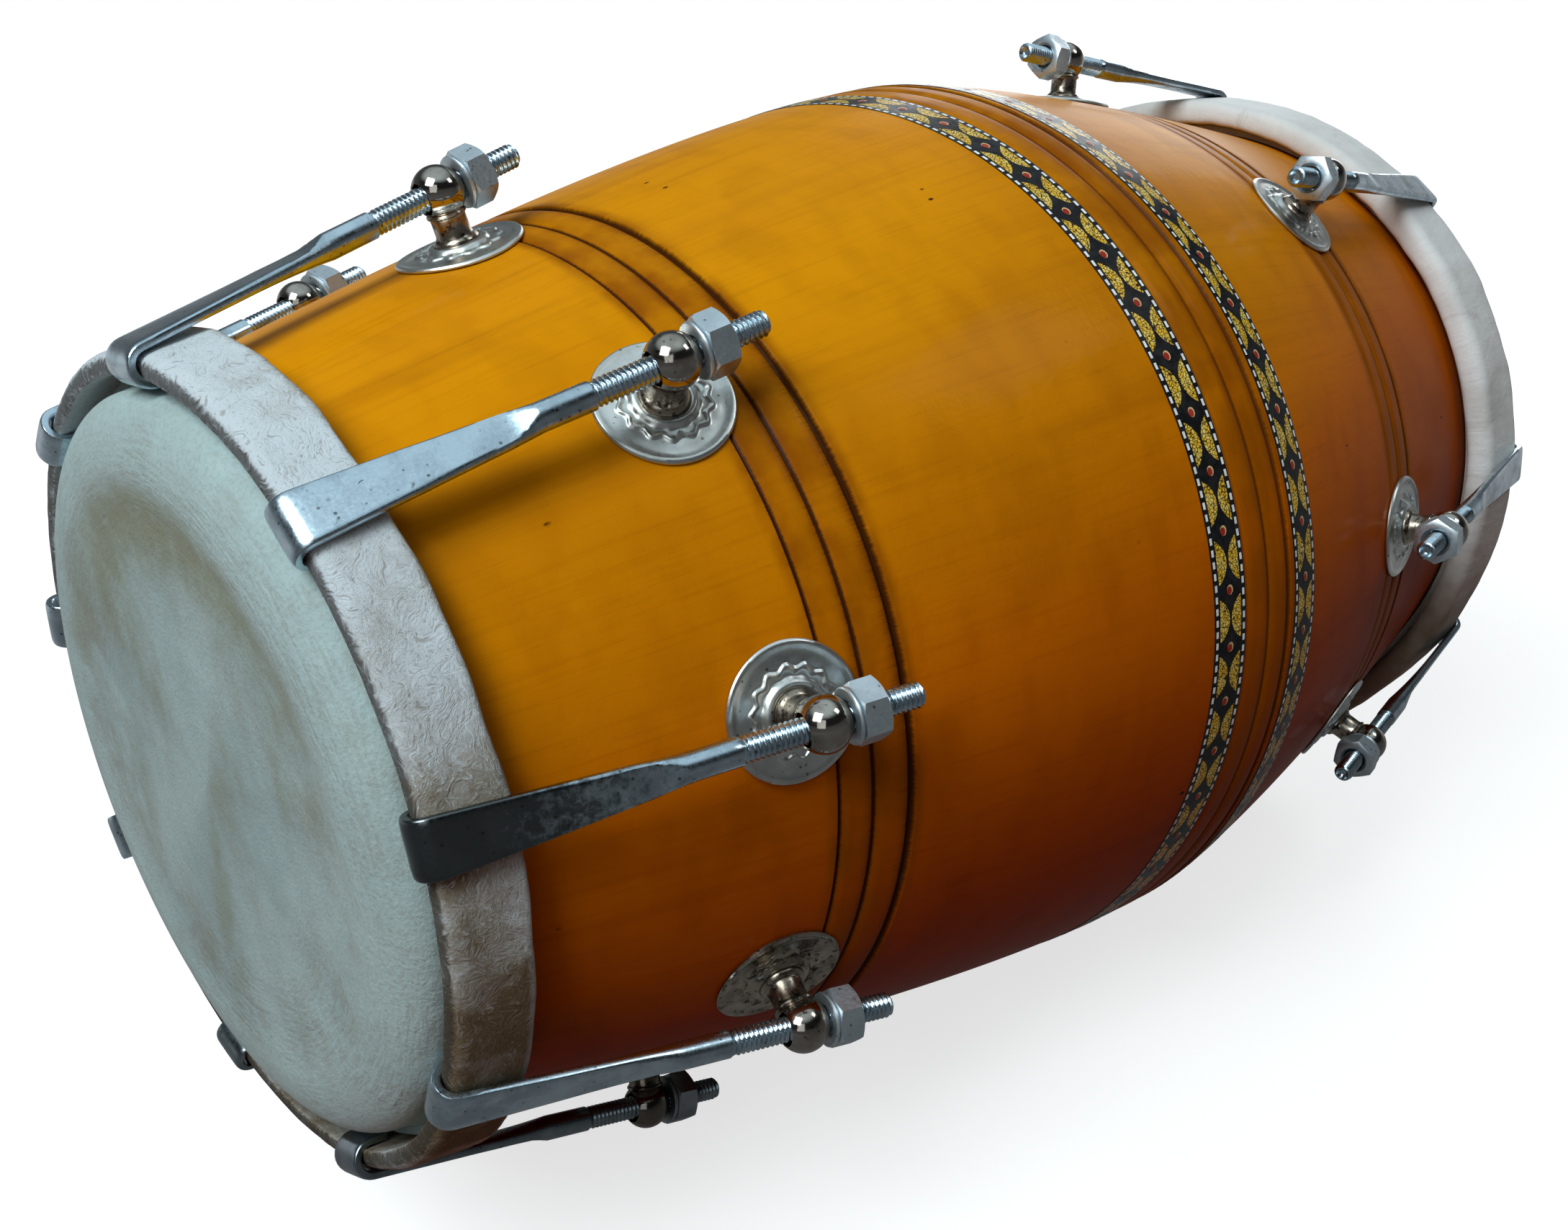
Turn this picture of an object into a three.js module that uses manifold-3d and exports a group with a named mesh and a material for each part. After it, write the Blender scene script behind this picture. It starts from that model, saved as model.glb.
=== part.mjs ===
// Dholak: a two-headed barrel drum whose hoops are drawn in by hooked rods, eye posts and nuts.
// Millimetres, +Z up. The drum lies on its side with its axis along X and the treble head at -X.
// The origin is at the middle of the bounding box's bottom.

import * as THREE from "three";
import { mergeVertices } from "three/addons/utils/BufferGeometryUtils.js";
import Module from "manifold-3d";

// Shell, turned from one block; places are measured along the axis from the treble rim
const shellLength = 446;
const bellyPlace = 251.5;
const bellyRadius = 148;
const trebleRimRadius = 89.7;
const bassRimRadius = 119.2;
const wallThickness = 12;
const rimRound = 8;
const barrelPower = 1.35;

// Turned grooves of the shell
const grooveWidth = 3;
const grooveDepth = 1.2;
const trebleBeadPlace = 97.2;
const trebleBeadWidth = 9.7;
const bellyBeadPlace = 239;
const bellyBeadWidth = 9.2;
const bassBeadPlace = 328.3;
const bassBeadWidth = 10;

// Skins, each lapped round its flesh ring
const skinThickness = 1.3;
const skinGap = 0.3;
const ringGap = 0.4;
const fleshRingLength = 7;
const pasteRadius = 58;
const pasteThickness = 3.6;
const pasteEdgeThickness = 1;

// Counter hoops; a setback is the distance from the rim plane to the hoop's front
const trebleHoopWidth = 18.5;
const trebleHoopThickness = 5.3;
const trebleHoopSetback = 3.5;
const bassHoopWidth = 27;
const bassHoopThickness = 9;
const bassHoopSetback = 6;
const valleyWidth = 1.8;
const tuningTravel = 2;

// Hooked tension rods
const rodRadius = 3.3;
const threadRadius = 2.5;
const threadLength = 19.5;
const plainRodLength = 16;
const bladeTaperLength = 7;
const bladeWidth = 13;
const bladeNeckWidth = 9;
const bladeThickness = 2.4;
const bladeNeckThickness = 3.4;
const bladeEdge = 0.5;
const hookClearance = 0.42;
const hookTongueLength = 4;

// Eye posts, with a rosette outside the wall and a nut inside it; angles run from the top towards -Y
const trebleLugAngles = [0, 42, 80, 118, 160, 200, 242, 280, 318];
const bassLugAngles = [0, 42, 88, 120, 160, 200, 240, 272, 318];
const trebleLugPlace = 88;
const bassLugPlace = 107;
const ballHeight = 14.6;
const ballRadius = 6.6;
const eyeRadius = 3.9;
const stemRadius = 4.75;
const rosetteRadius = 16.6;
const rosetteRimHeight = 1.5;
const rosetteBossRadius = 8;
const rosetteBossHeight = 2.4;
const rosetteGap = 0.4;
const shankRadius = 2.9;
const shankGap = 0.4;
const shankEndLength = 2;
const innerNutRadius = 6.4;
const innerNutHeight = 5;
const innerNutGap = 0.4;

// Rod nuts, each on a thin washer
const nutFlatWidth = 13;
const nutHeight = 7;
const nutBoreRadius = 3.7;
const washerRadius = 7.3;
const washerThickness = 1;
const washerGap = 0.35;
const rodTipLength = 10.5;

// Counts of faces, and the overrun of every cut
const roundSides = 36;
const arcSteps = 3;
const barrelStations = 9;
const bendSteps = 4;
const boreSides = 8;
const stemSides = 8;
const shankSides = 6;
const hexSides = 6;
const rosetteSides = 12;
const ballSides = 8;
const ballRings = 5;
const washerSides = 8;
const cutOverrun = 3;

// Flares of the two hoops, in radians
const trebleHoopFlare = Math.PI / 16;
const bassHoopFlare = 0;

// Finishes
function finish(color, roughness, metalness) {
  return new THREE.MeshStandardMaterial({ color, roughness, metalness });
}

const lacqueredWood = finish(0xc2780a, 0.28, 0);
const trebleHide = finish(0xb9c2b8, 0.75, 0);
const bassHide = finish(0xd6cfc0, 0.7, 0);
const trebleHoopHide = finish(0xa39a8c, 0.85, 0);
const bassHoopHide = finish(0xcfc8be, 0.7, 0);
const darkPaste = finish(0x1d1a18, 0.9, 0);
const zincSteel = finish(0x9aa3a8, 0.35, 1);
const nickelPlate = finish(0xa9a49c, 0.18, 1);

const wasm = await Module();
wasm.setup();

// Turns a closed geometry into a solid whose faces point out
function solidFrom(geometry) {
  const bare = geometry.clone();
  bare.deleteAttribute("normal");
  bare.deleteAttribute("uv");
  const merged = mergeVertices(bare);
  const places = merged.getAttribute("position").array;
  const corners = merged.getIndex().array;
  const kept = [];
  let volume = 0;
  for (let i = 0; i < corners.length; i += 3) {
    const [a, b, c] = [corners[i], corners[i + 1], corners[i + 2]];
    if (a !== b && b !== c && c !== a) {
      kept.push(a, b, c);
      const [p, q, r] = [a, b, c].map((corner) => new THREE.Vector3().fromArray(places, 3 * corner));
      volume += p.dot(q.cross(r));
    }
  }
  if (volume < 0) {
    kept.reverse();
  }
  const vertProperties = Float32Array.from(places);
  const triVerts = Uint32Array.from(kept);
  return new wasm.Manifold(new wasm.Mesh({ numProp: 3, vertProperties, triVerts }));
}

function geometryFrom(solid) {
  const mesh = solid.getMesh();
  const geometry = new THREE.BufferGeometry();
  geometry.setAttribute("position", new THREE.BufferAttribute(mesh.vertProperties, 3));
  geometry.setIndex(new THREE.BufferAttribute(mesh.triVerts, 1));
  geometry.computeVertexNormals();
  return geometry;
}

function meshOf(name, solid, material) {
  const mesh = new THREE.Mesh(geometryFrom(solid), material);
  mesh.name = name;
  return mesh;
}

// Points [x, radius] turned about the X axis; the middles of the flat sides lie at the stated radius
function turned(outline) {
  const flatScale = Math.cos(Math.PI / roundSides);
  const points = outline.map(([x, radius]) => new THREE.Vector2(radius / flatScale, x));
  const geometry = new THREE.LatheGeometry(points, roundSides);
  geometry.rotateZ(-Math.PI / 2);
  geometry.rotateX(Math.PI / roundSides);
  return solidFrom(geometry);
}

// A cylinder whose axis is Z, from one height to another
function upright(radius, from, to, sides) {
  const geometry = new THREE.CylinderGeometry(radius, radius, to - from, sides);
  geometry.rotateX(Math.PI / 2);
  geometry.translate(0, 0, (from + to) / 2);
  return geometry;
}

// Radius of the shell's outside at a distance from a rim towards the belly
function barrelRadius(end, distance) {
  const share = Math.abs(end.bellyDistance - distance) / end.bellyDistance;
  return bellyRadius - (bellyRadius - end.rimRadius) * share ** barrelPower;
}

// Rise of the shell's outside per unit of distance from a rim
function barrelRise(end, distance) {
  const share = Math.abs(end.bellyDistance - distance) / end.bellyDistance;
  return ((bellyRadius - end.rimRadius) * barrelPower * share ** (barrelPower - 1)) / end.bellyDistance;
}

// Quarter round of the rim, thickened by an offset, from the end face to the side
function rimArc(end, offset) {
  const centreRadius = barrelRadius(end, rimRound) - rimRound;
  const points = [];
  for (let step = 0; step <= arcSteps; step += 1) {
    const angle = (step / arcSteps) * (Math.PI / 2);
    const reach = rimRound + offset;
    points.push([rimRound - reach * Math.cos(angle), centreRadius + reach * Math.sin(angle)]);
  }
  return points;
}

// Places and radii that the pieces of one end share
function endSizes(name, rimRadius, bellyDistance, hoop, lugPlace) {
  const end = { name, rimRadius, bellyDistance, hoop, lugPlace };
  const skinOutside = skinGap + skinThickness;
  const half = hoop.thickness / 2;
  const noseX = hoop.setback + half;
  const hookRoom = valleyWidth + bladeThickness + hookClearance;
  end.nose = new THREE.Vector2(noseX, barrelRadius(end, noseX) + skinOutside + hookRoom + half);
  end.bendRadius = half + hookClearance + bladeThickness / 2;
  const tongueDrop = (end.bendRadius + bladeThickness / 2) * Math.sin(hoop.flare);
  const tongueEnd = noseX + tongueDrop + hookTongueLength * Math.cos(hoop.flare);
  end.ringStart = tongueEnd + tuningTravel + ringGap;
  const hoopRise = (end.ringStart - tuningTravel - noseX) * Math.tan(hoop.flare);
  end.ringRadius = end.nose.y - half / Math.cos(hoop.flare) + hoopRise - ringGap;
  end.slope = Math.atan(barrelRise(end, lugPlace));
  end.lugRadius = barrelRadius(end, lugPlace);
  const upward = new THREE.Vector2(-Math.sin(end.slope), Math.cos(end.slope));
  end.ball = new THREE.Vector2(lugPlace, end.lugRadius).addScaledVector(upward, ballHeight);
  const span = end.ball.clone().sub(end.nose);
  end.rodAngle = span.angle() - Math.asin(end.bendRadius / span.length());
  return end;
}

const trebleHoop = {
  width: trebleHoopWidth,
  thickness: trebleHoopThickness,
  setback: trebleHoopSetback,
  flare: trebleHoopFlare,
};
const bassHoop = {
  width: bassHoopWidth,
  thickness: bassHoopThickness,
  setback: bassHoopSetback,
  flare: bassHoopFlare,
};
const treble = endSizes("treble", trebleRimRadius, bellyPlace, trebleHoop, trebleLugPlace);
const bass = endSizes("bass", bassRimRadius, shellLength - bellyPlace, bassHoop, bassLugPlace);

const shellRadius = (x) => (x < bellyPlace ? barrelRadius(treble, x) : barrelRadius(bass, shellLength - x));

// Even stations along the barrel between the two rounded rims
function barrelPlaces() {
  const places = [];
  for (let station = 0; station <= barrelStations; station += 1) {
    places.push(rimRound + ((shellLength - 2 * rimRound) * station) / barrelStations);
  }
  return places;
}

// Stations inside the wall: flat under each ring of nuts
function insidePlaces() {
  const seats = [trebleLugPlace, shellLength - bassLugPlace];
  const edges = seats.flatMap((place) => [place - 2 * innerNutRadius, place + 2 * innerNutRadius]);
  return [0, ...edges, bellyPlace, shellLength].sort((one, other) => one - other);
}

// Direction of the post's axis and the point where it leaves the shell, for one lug of the shell
function lugMatrix(end, turn) {
  const post = new THREE.Matrix4().makeTranslation(end.lugPlace, 0, end.lugRadius);
  post.multiply(new THREE.Matrix4().makeRotationY(-end.slope));
  return new THREE.Matrix4().makeRotationX(turn).multiply(post);
}

function bassEndMatrix() {
  const matrix = new THREE.Matrix4().makeTranslation(shellLength, 0, 0);
  return matrix.multiply(new THREE.Matrix4().makeRotationZ(Math.PI));
}

// Hollow barrel with grooves, rounded rims and a hole for each post's shank
function shellSolid() {
  const grooves = [bellyBeadPlace, bellyBeadPlace + bellyBeadWidth];
  for (let edge = 0; edge <= 2; edge += 1) {
    grooves.push(trebleBeadPlace + edge * trebleBeadWidth);
    grooves.push(bassBeadPlace + edge * bassBeadWidth);
  }
  const clearOfGrooves = (x) => grooves.every((place) => Math.abs(x - place) > grooveWidth);
  const outside = barrelPlaces().slice(1, -1).filter(clearOfGrooves).map((x) => [x, shellRadius(x)]);
  for (const place of grooves) {
    outside.push([place - grooveWidth / 2, shellRadius(place - grooveWidth / 2)]);
    outside.push([place, shellRadius(place) - grooveDepth]);
    outside.push([place + grooveWidth / 2, shellRadius(place + grooveWidth / 2)]);
  }
  outside.sort((one, other) => one[0] - other[0]);
  const bassRim = rimArc(bass, 0).map(([distance, radius]) => [shellLength - distance, radius]).reverse();
  const inside = insidePlaces().map((x) => [x, shellRadius(x) - wallThickness]);
  const outline = [...rimArc(treble, 0), ...outside, ...bassRim, ...inside.reverse()];
  outline.push(outline[0]);
  const barrel = turned(outline);
  const depth = wallThickness + cutOverrun;
  const bore = upright(shankRadius + shankGap, -depth, cutOverrun, shankSides);
  const bores = [];
  for (const angle of trebleLugAngles) {
    const place = lugMatrix(treble, THREE.MathUtils.degToRad(angle));
    bores.push(solidFrom(bore.clone().applyMatrix4(place)));
  }
  for (const angle of bassLugAngles) {
    const place = bassEndMatrix().multiply(lugMatrix(bass, THREE.MathUtils.degToRad(-angle)));
    bores.push(solidFrom(bore.clone().applyMatrix4(place)));
  }
  return bores.reduce((shell, hole) => shell.subtract(hole), barrel);
}

// Skin stretched over the rim, with its edge lapped round the flesh ring under the hoop
function skinSolid(end) {
  const ringEnd = end.ringStart + fleshRingLength;
  const skirt = (distance, offset) => [distance, barrelRadius(end, distance) + offset];
  const inner = [[-skinGap, 0], ...rimArc(end, skinGap), skirt(ringEnd, skinGap)];
  const ring = [[ringEnd, end.ringRadius], [end.ringStart, end.ringRadius]];
  const outside = skinGap + skinThickness;
  const outer = [skirt(end.ringStart, outside), ...rimArc(end, outside).reverse(), [-outside, 0]];
  return turned([...inner, ...ring, ...outer]);
}

// Tuning paste on the inner side of the bass skin
function pasteSolid() {
  const edge = [[0, pasteRadius], [pasteEdgeThickness, pasteRadius]];
  return turned([[0, 0], ...edge, [pasteThickness, pasteRadius / 2], [pasteThickness, 0]]);
}

// Round-edged band, flared towards the belly
function hoopSolid(end) {
  const { width, thickness, flare } = end.hoop;
  const half = thickness / 2;
  const run = width - thickness;
  const rear = [end.nose.x + run * Math.cos(flare), end.nose.y + run * Math.sin(flare)];
  const outline = [];
  for (const [centre, start] of [[[end.nose.x, end.nose.y], Math.PI / 2], [rear, -Math.PI / 2]]) {
    for (let step = 0; step <= bendSteps; step += 1) {
      const angle = flare + start + (step / bendSteps) * Math.PI;
      outline.push([centre[0] + half * Math.cos(angle), centre[1] + half * Math.sin(angle)]);
    }
  }
  outline.push(outline[0]);
  return turned(outline);
}

// Eight-sided section across Y and a normal in the XZ plane: round when the cut corners are long
function hookSection(centre, normal, width, thickness, corner) {
  const [side, top] = [width / 2, thickness / 2];
  const shape = [[side, corner - top], [side, top - corner], [side - corner, top], [corner - side, top]];
  const opposite = shape.map(([across, out]) => [-across, -out]);
  return [...shape, ...opposite].map(([across, out]) => [
    centre.x + out * normal.x,
    across,
    centre.y + out * normal.y,
  ]);
}

// Closed skin over a row of sections with equal counts of points
function lofted(sections) {
  const count = sections[0].length;
  const corners = [];
  for (let row = 0; row + 1 < sections.length; row += 1) {
    for (let point = 0; point < count; point += 1) {
      const next = (point + 1) % count;
      const [a, b] = [row * count + point, row * count + next];
      corners.push(a, b, b + count, a, b + count, a + count);
    }
  }
  const last = (sections.length - 1) * count;
  for (let point = 1; point + 1 < count; point += 1) {
    corners.push(0, point + 1, point, last, last + point, last + point + 1);
  }
  const geometry = new THREE.BufferGeometry();
  geometry.setAttribute("position", new THREE.Float32BufferAttribute(sections.flat(2), 3));
  geometry.setIndex(corners);
  return solidFrom(geometry);
}

// Threaded rod that flattens into a blade and hooks round the front of the hoop
function hookSolid(end) {
  const inward = new THREE.Vector2(Math.cos(end.rodAngle), Math.sin(end.rodAngle));
  const normal = new THREE.Vector2(-inward.y, inward.x);
  const along = (distance) => end.ball.clone().addScaledVector(inward, -distance);
  const roundCorner = 2 - Math.SQRT2;
  const round = (distance, radius) =>
    hookSection(along(distance), normal, 2 * radius, 2 * radius, radius * roundCorner);
  const tip = eyeSeat() + washerGap + washerThickness + nutHeight + rodTipLength;
  const plainEnd = threadLength + plainRodLength;
  const sections = [
    round(-tip, threadRadius),
    round(threadLength, threadRadius),
    round(threadLength + rodRadius - threadRadius, rodRadius),
    round(plainEnd, rodRadius),
    hookSection(along(plainEnd + bladeTaperLength), normal, bladeNeckWidth, bladeNeckThickness, bladeEdge),
  ];
  const turnAngle = Math.PI - end.rodAngle + end.hoop.flare;
  let out = normal;
  for (let step = 0; step <= bendSteps; step += 1) {
    const angle = Math.PI / 2 + end.rodAngle + (step / bendSteps) * turnAngle;
    out = new THREE.Vector2(Math.cos(angle), Math.sin(angle));
    const centre = end.nose.clone().addScaledVector(out, end.bendRadius);
    sections.push(hookSection(centre, out, bladeWidth, bladeThickness, bladeEdge));
  }
  const tongue = new THREE.Vector2(Math.cos(end.hoop.flare), Math.sin(end.hoop.flare));
  const bendEnd = end.nose.clone().addScaledVector(out, end.bendRadius);
  const tongueEnd = bendEnd.addScaledVector(tongue, hookTongueLength);
  sections.push(hookSection(tongueEnd, out, bladeWidth, bladeThickness, bladeEdge));
  return lofted(sections);
}

// Distance from the ball's centre to the edge of its eye
function eyeSeat() {
  return Math.sqrt(ballRadius ** 2 - eyeRadius ** 2);
}

// Post with its ball and eye, the rosette, the shank through the wall and the nut inside
function postSolid(end) {
  const rosetteOutline = [
    [0, rosetteGap],
    [rosetteRadius, rosetteGap],
    [rosetteRadius, rosetteRimHeight],
    [rosetteBossRadius, rosetteBossHeight],
    [0, rosetteBossHeight],
  ].map(([radius, height]) => new THREE.Vector2(radius, height));
  const rosette = new THREE.LatheGeometry(rosetteOutline, rosetteSides);
  rosette.rotateX(Math.PI / 2);
  const ball = new THREE.SphereGeometry(ballRadius, ballSides, ballRings);
  ball.rotateX(Math.PI / 2);
  ball.translate(0, 0, ballHeight);
  const wall = wallThickness * Math.cos(end.slope);
  const nutTop = -wall - innerNutGap;
  const nutBottom = nutTop - innerNutHeight;
  const pieces = [
    rosette,
    ball,
    upright(stemRadius, rosetteGap, ballHeight, stemSides),
    upright(shankRadius, nutBottom - shankEndLength, rosetteBossHeight, shankSides),
    upright(innerNutRadius, nutBottom, nutTop, hexSides),
  ];
  const post = pieces.map(solidFrom).reduce((whole, piece) => whole.add(piece));
  const eye = upright(eyeRadius, -ballRadius - cutOverrun, ballRadius + cutOverrun, boreSides);
  eye.rotateY(Math.PI / 2 - end.rodAngle + end.slope);
  eye.translate(0, 0, ballHeight);
  return post.subtract(solidFrom(eye));
}

// Hexagon nut and its washer, bored for the rod, with the washer's face at the origin
function nutSolid() {
  const washer = upright(washerRadius, 0, washerThickness, washerSides);
  const cornerRadius = nutFlatWidth / 2 / Math.cos(Math.PI / hexSides);
  const nut = upright(cornerRadius, 0, washerThickness + nutHeight, hexSides);
  const bore = upright(nutBoreRadius, -cutOverrun, washerThickness + nutHeight + cutOverrun, boreSides);
  return solidFrom(washer).add(solidFrom(nut)).subtract(solidFrom(bore));
}

// One end in its own frame: X runs from the rim towards the belly, lugs are numbered from the top
function endGroup(end, hides, lugAngles) {
  const group = new THREE.Group();
  group.add(meshOf(`${end.name}_skin`, skinSolid(end), hides.skin));
  group.add(meshOf(`${end.name}_hoop`, hoopSolid(end), hides.hoop));
  const [hook, nut, post] = [hookSolid(end), nutSolid(), postSolid(end)];
  const seat = eyeSeat() + washerGap;
  for (const [index, angle] of lugAngles.entries()) {
    const lug = index + 1;
    const place = new THREE.Group();
    place.rotation.x = THREE.MathUtils.degToRad(angle);
    const postMesh = meshOf(`${end.name}_post_${lug}`, post, nickelPlate);
    postMesh.position.set(end.lugPlace, 0, end.lugRadius);
    postMesh.rotation.y = -end.slope;
    const nutMesh = meshOf(`${end.name}_nut_${lug}`, nut, zincSteel);
    nutMesh.rotation.y = Math.PI / 2 - end.rodAngle;
    nutMesh.position.set(
      end.ball.x + seat * Math.cos(end.rodAngle),
      0,
      end.ball.y + seat * Math.sin(end.rodAngle),
    );
    place.add(meshOf(`${end.name}_hook_${lug}`, hook, zincSteel), nutMesh, postMesh);
    group.add(place);
  }
  return group;
}

const drum = new THREE.Group();
drum.add(meshOf("shell", shellSolid(), lacqueredWood));
drum.add(endGroup(treble, { skin: trebleHide, hoop: trebleHoopHide }, trebleLugAngles));

const bassTurns = bassLugAngles.map((angle) => -angle);
const bassGroup = endGroup(bass, { skin: bassHide, hoop: bassHoopHide }, bassTurns);
bassGroup.add(meshOf("bass_paste", pasteSolid(), darkPaste));
bassGroup.rotation.z = Math.PI;
bassGroup.position.x = shellLength;
drum.add(bassGroup);

drum.updateMatrixWorld(true);
const box = new THREE.Box3().setFromObject(drum, true);
const middle = box.getCenter(new THREE.Vector3());
drum.position.set(-middle.x, -middle.y, -box.min.z);

export default drum;
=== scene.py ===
"""Looks of a dholak: a two-headed barrel drum whose hoops are drawn in by hooked rods and nuts.

Sizes are in millimetres, measured along the drum's axis from the rim of the small, treble end.
Every piece is built in those millimetres and then put into the frame's metres.
"""

import logging
import math
from collections.abc import Sequence
from dataclasses import dataclass
from enum import Enum
from functools import reduce

import bpy
import numpy as np
from mathutils import Matrix, Vector, noise


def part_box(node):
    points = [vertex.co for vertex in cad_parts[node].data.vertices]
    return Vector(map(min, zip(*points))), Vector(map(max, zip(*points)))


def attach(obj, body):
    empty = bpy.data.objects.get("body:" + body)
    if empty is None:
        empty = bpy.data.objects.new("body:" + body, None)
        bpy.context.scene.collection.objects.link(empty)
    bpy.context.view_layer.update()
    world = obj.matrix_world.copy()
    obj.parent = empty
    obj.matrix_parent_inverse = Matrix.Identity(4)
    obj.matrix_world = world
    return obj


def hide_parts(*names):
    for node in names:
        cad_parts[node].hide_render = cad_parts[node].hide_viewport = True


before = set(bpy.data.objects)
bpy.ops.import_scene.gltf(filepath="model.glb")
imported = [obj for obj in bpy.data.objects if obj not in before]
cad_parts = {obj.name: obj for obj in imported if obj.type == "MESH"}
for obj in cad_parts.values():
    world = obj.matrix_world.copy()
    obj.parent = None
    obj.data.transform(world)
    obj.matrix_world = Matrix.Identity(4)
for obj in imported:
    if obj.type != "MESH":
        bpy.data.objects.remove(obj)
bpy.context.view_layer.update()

log = logging.getLogger("dholak")

METRES = 0.001
Socket = bpy.types.NodeSocket
Colour = tuple[float, float, float]
Pair = tuple[float, float]
Array = np.ndarray
Centre = tuple[float, float, float] | None


def place_of_drum() -> Array:
    """Matrix from millimetres along and about the drum's axis to the frame's metres.

    Returns:
        A 4 by 4 matrix that also scales to metres.
    """
    low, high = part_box("shell")
    place = np.diag([METRES, METRES, METRES, 1.0])
    place[0, 3] = low.x
    place[2, 3] = (low.z + high.z) / 2
    return place


DRUM_PLACE = place_of_drum()
AXIS_HEIGHT = float(DRUM_PLACE[2, 3])
RIM_X = float(DRUM_PLACE[0, 3])


class End(Enum):
    """The two ends of the drum, by the names that their nodes carry."""

    TREBLE = "treble"
    BASS = "bass"


class Layer(Enum):
    """The layers of ink of a printed tape, in the order of its material slots."""

    GROUND = 0
    DASH = 1
    LEAF = 2
    DOT = 3
    CRESCENT = 4


def turned(axis: str, angle: float) -> Array:
    """Matrix of a turn about the X, Y or Z axis by an angle in radians."""
    return np.array(Matrix.Rotation(angle, 4, axis))


def shift(x: float, y: float, z: float) -> Array:
    """Matrix of a move by x, y and z."""
    return np.array(Matrix.Translation((x, y, z)))


def round_turn(count: int) -> Array:
    """Evenly spaced angles of one whole turn, in radians."""
    return np.arange(count) * 2 * math.pi / count


def ring(radius: Array | float, height: Array | float, turn: Array) -> Array:
    """Points about the Z axis at the angles of a turn, by their radius and height."""
    return np.stack(np.broadcast_arrays(radius * np.cos(turn), radius * np.sin(turn), height), -1)


def added(name: str, data: bpy.types.ID) -> bpy.types.Object:
    """Adds an object with its data to the scene."""
    piece = bpy.data.objects.new(name, data)
    bpy.context.scene.collection.objects.link(piece)
    return piece


@dataclass(frozen=True)
class Barrel:
    """The turned outline of the wooden shell, which every fitting is set against."""

    length: float = 446.0
    belly_place: float = 251.5
    belly_radius: float = 148.0
    treble_rim_radius: float = 89.7
    bass_rim_radius: float = 119.2
    wall: float = 12.0
    rim_round: float = 8.0
    power: float = 1.35
    treble_rim_reach: float = 15.0
    bass_rim_reach: float = 11.0

    def span(self, end: End) -> float:
        """Distance from an end's rim to the belly."""
        return self.belly_place if end is End.TREBLE else self.length - self.belly_place

    def rim_radius(self, end: End) -> float:
        """Radius that an end's outline runs to at its rim."""
        return self.treble_rim_radius if end is End.TREBLE else self.bass_rim_radius

    def radius(self, end: End, distance: float) -> float:
        """Outside radius at a distance from an end's rim.

        Args:
            end: The end that the distance is measured from.
            distance: Millimetres along the axis towards the belly.

        Returns:
            The radius in millimetres.
        """
        span, rim = self.span(end), self.rim_radius(end)
        share = abs(span - distance) / span
        return self.belly_radius - (self.belly_radius - rim) * share**self.power

    def slope(self, end: End, distance: float) -> float:
        """Angle in radians at which the outside rises towards the belly."""
        near = 0.01
        rise = self.radius(end, distance + near) - self.radius(end, distance - near)
        return math.atan(rise / (2 * near))

    def at(self, place: float) -> float:
        """Outside radius at a distance from the treble rim."""
        if place < self.belly_place:
            return self.radius(End.TREBLE, place)
        return self.radius(End.BASS, self.length - place)

    def rim_reach(self, end: End) -> float:
        """How far a rim's round reaches towards the axis."""
        return self.treble_rim_reach if end is End.TREBLE else self.bass_rim_reach

    def rim_arc(self, end: End, offset: float, steps: int) -> list[Pair]:
        """Quarter round of a rim, thickened by an offset, from the end face to the side.

        Args:
            end: The end of the drum.
            offset: Distance outside the wood.
            steps: Count of steps along the arc.

        Returns:
            Points as (distance from the rim, radius).
        """
        reach = self.rim_reach(end)
        centre = self.radius(end, self.rim_round) - reach
        points = []
        for step in range(steps + 1):
            angle = step / steps * math.pi / 2
            x = self.rim_round - (self.rim_round + offset) * math.cos(angle)
            points.append((x, centre + (reach + offset) * math.sin(angle)))
        return points


BARREL = Barrel()


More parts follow.
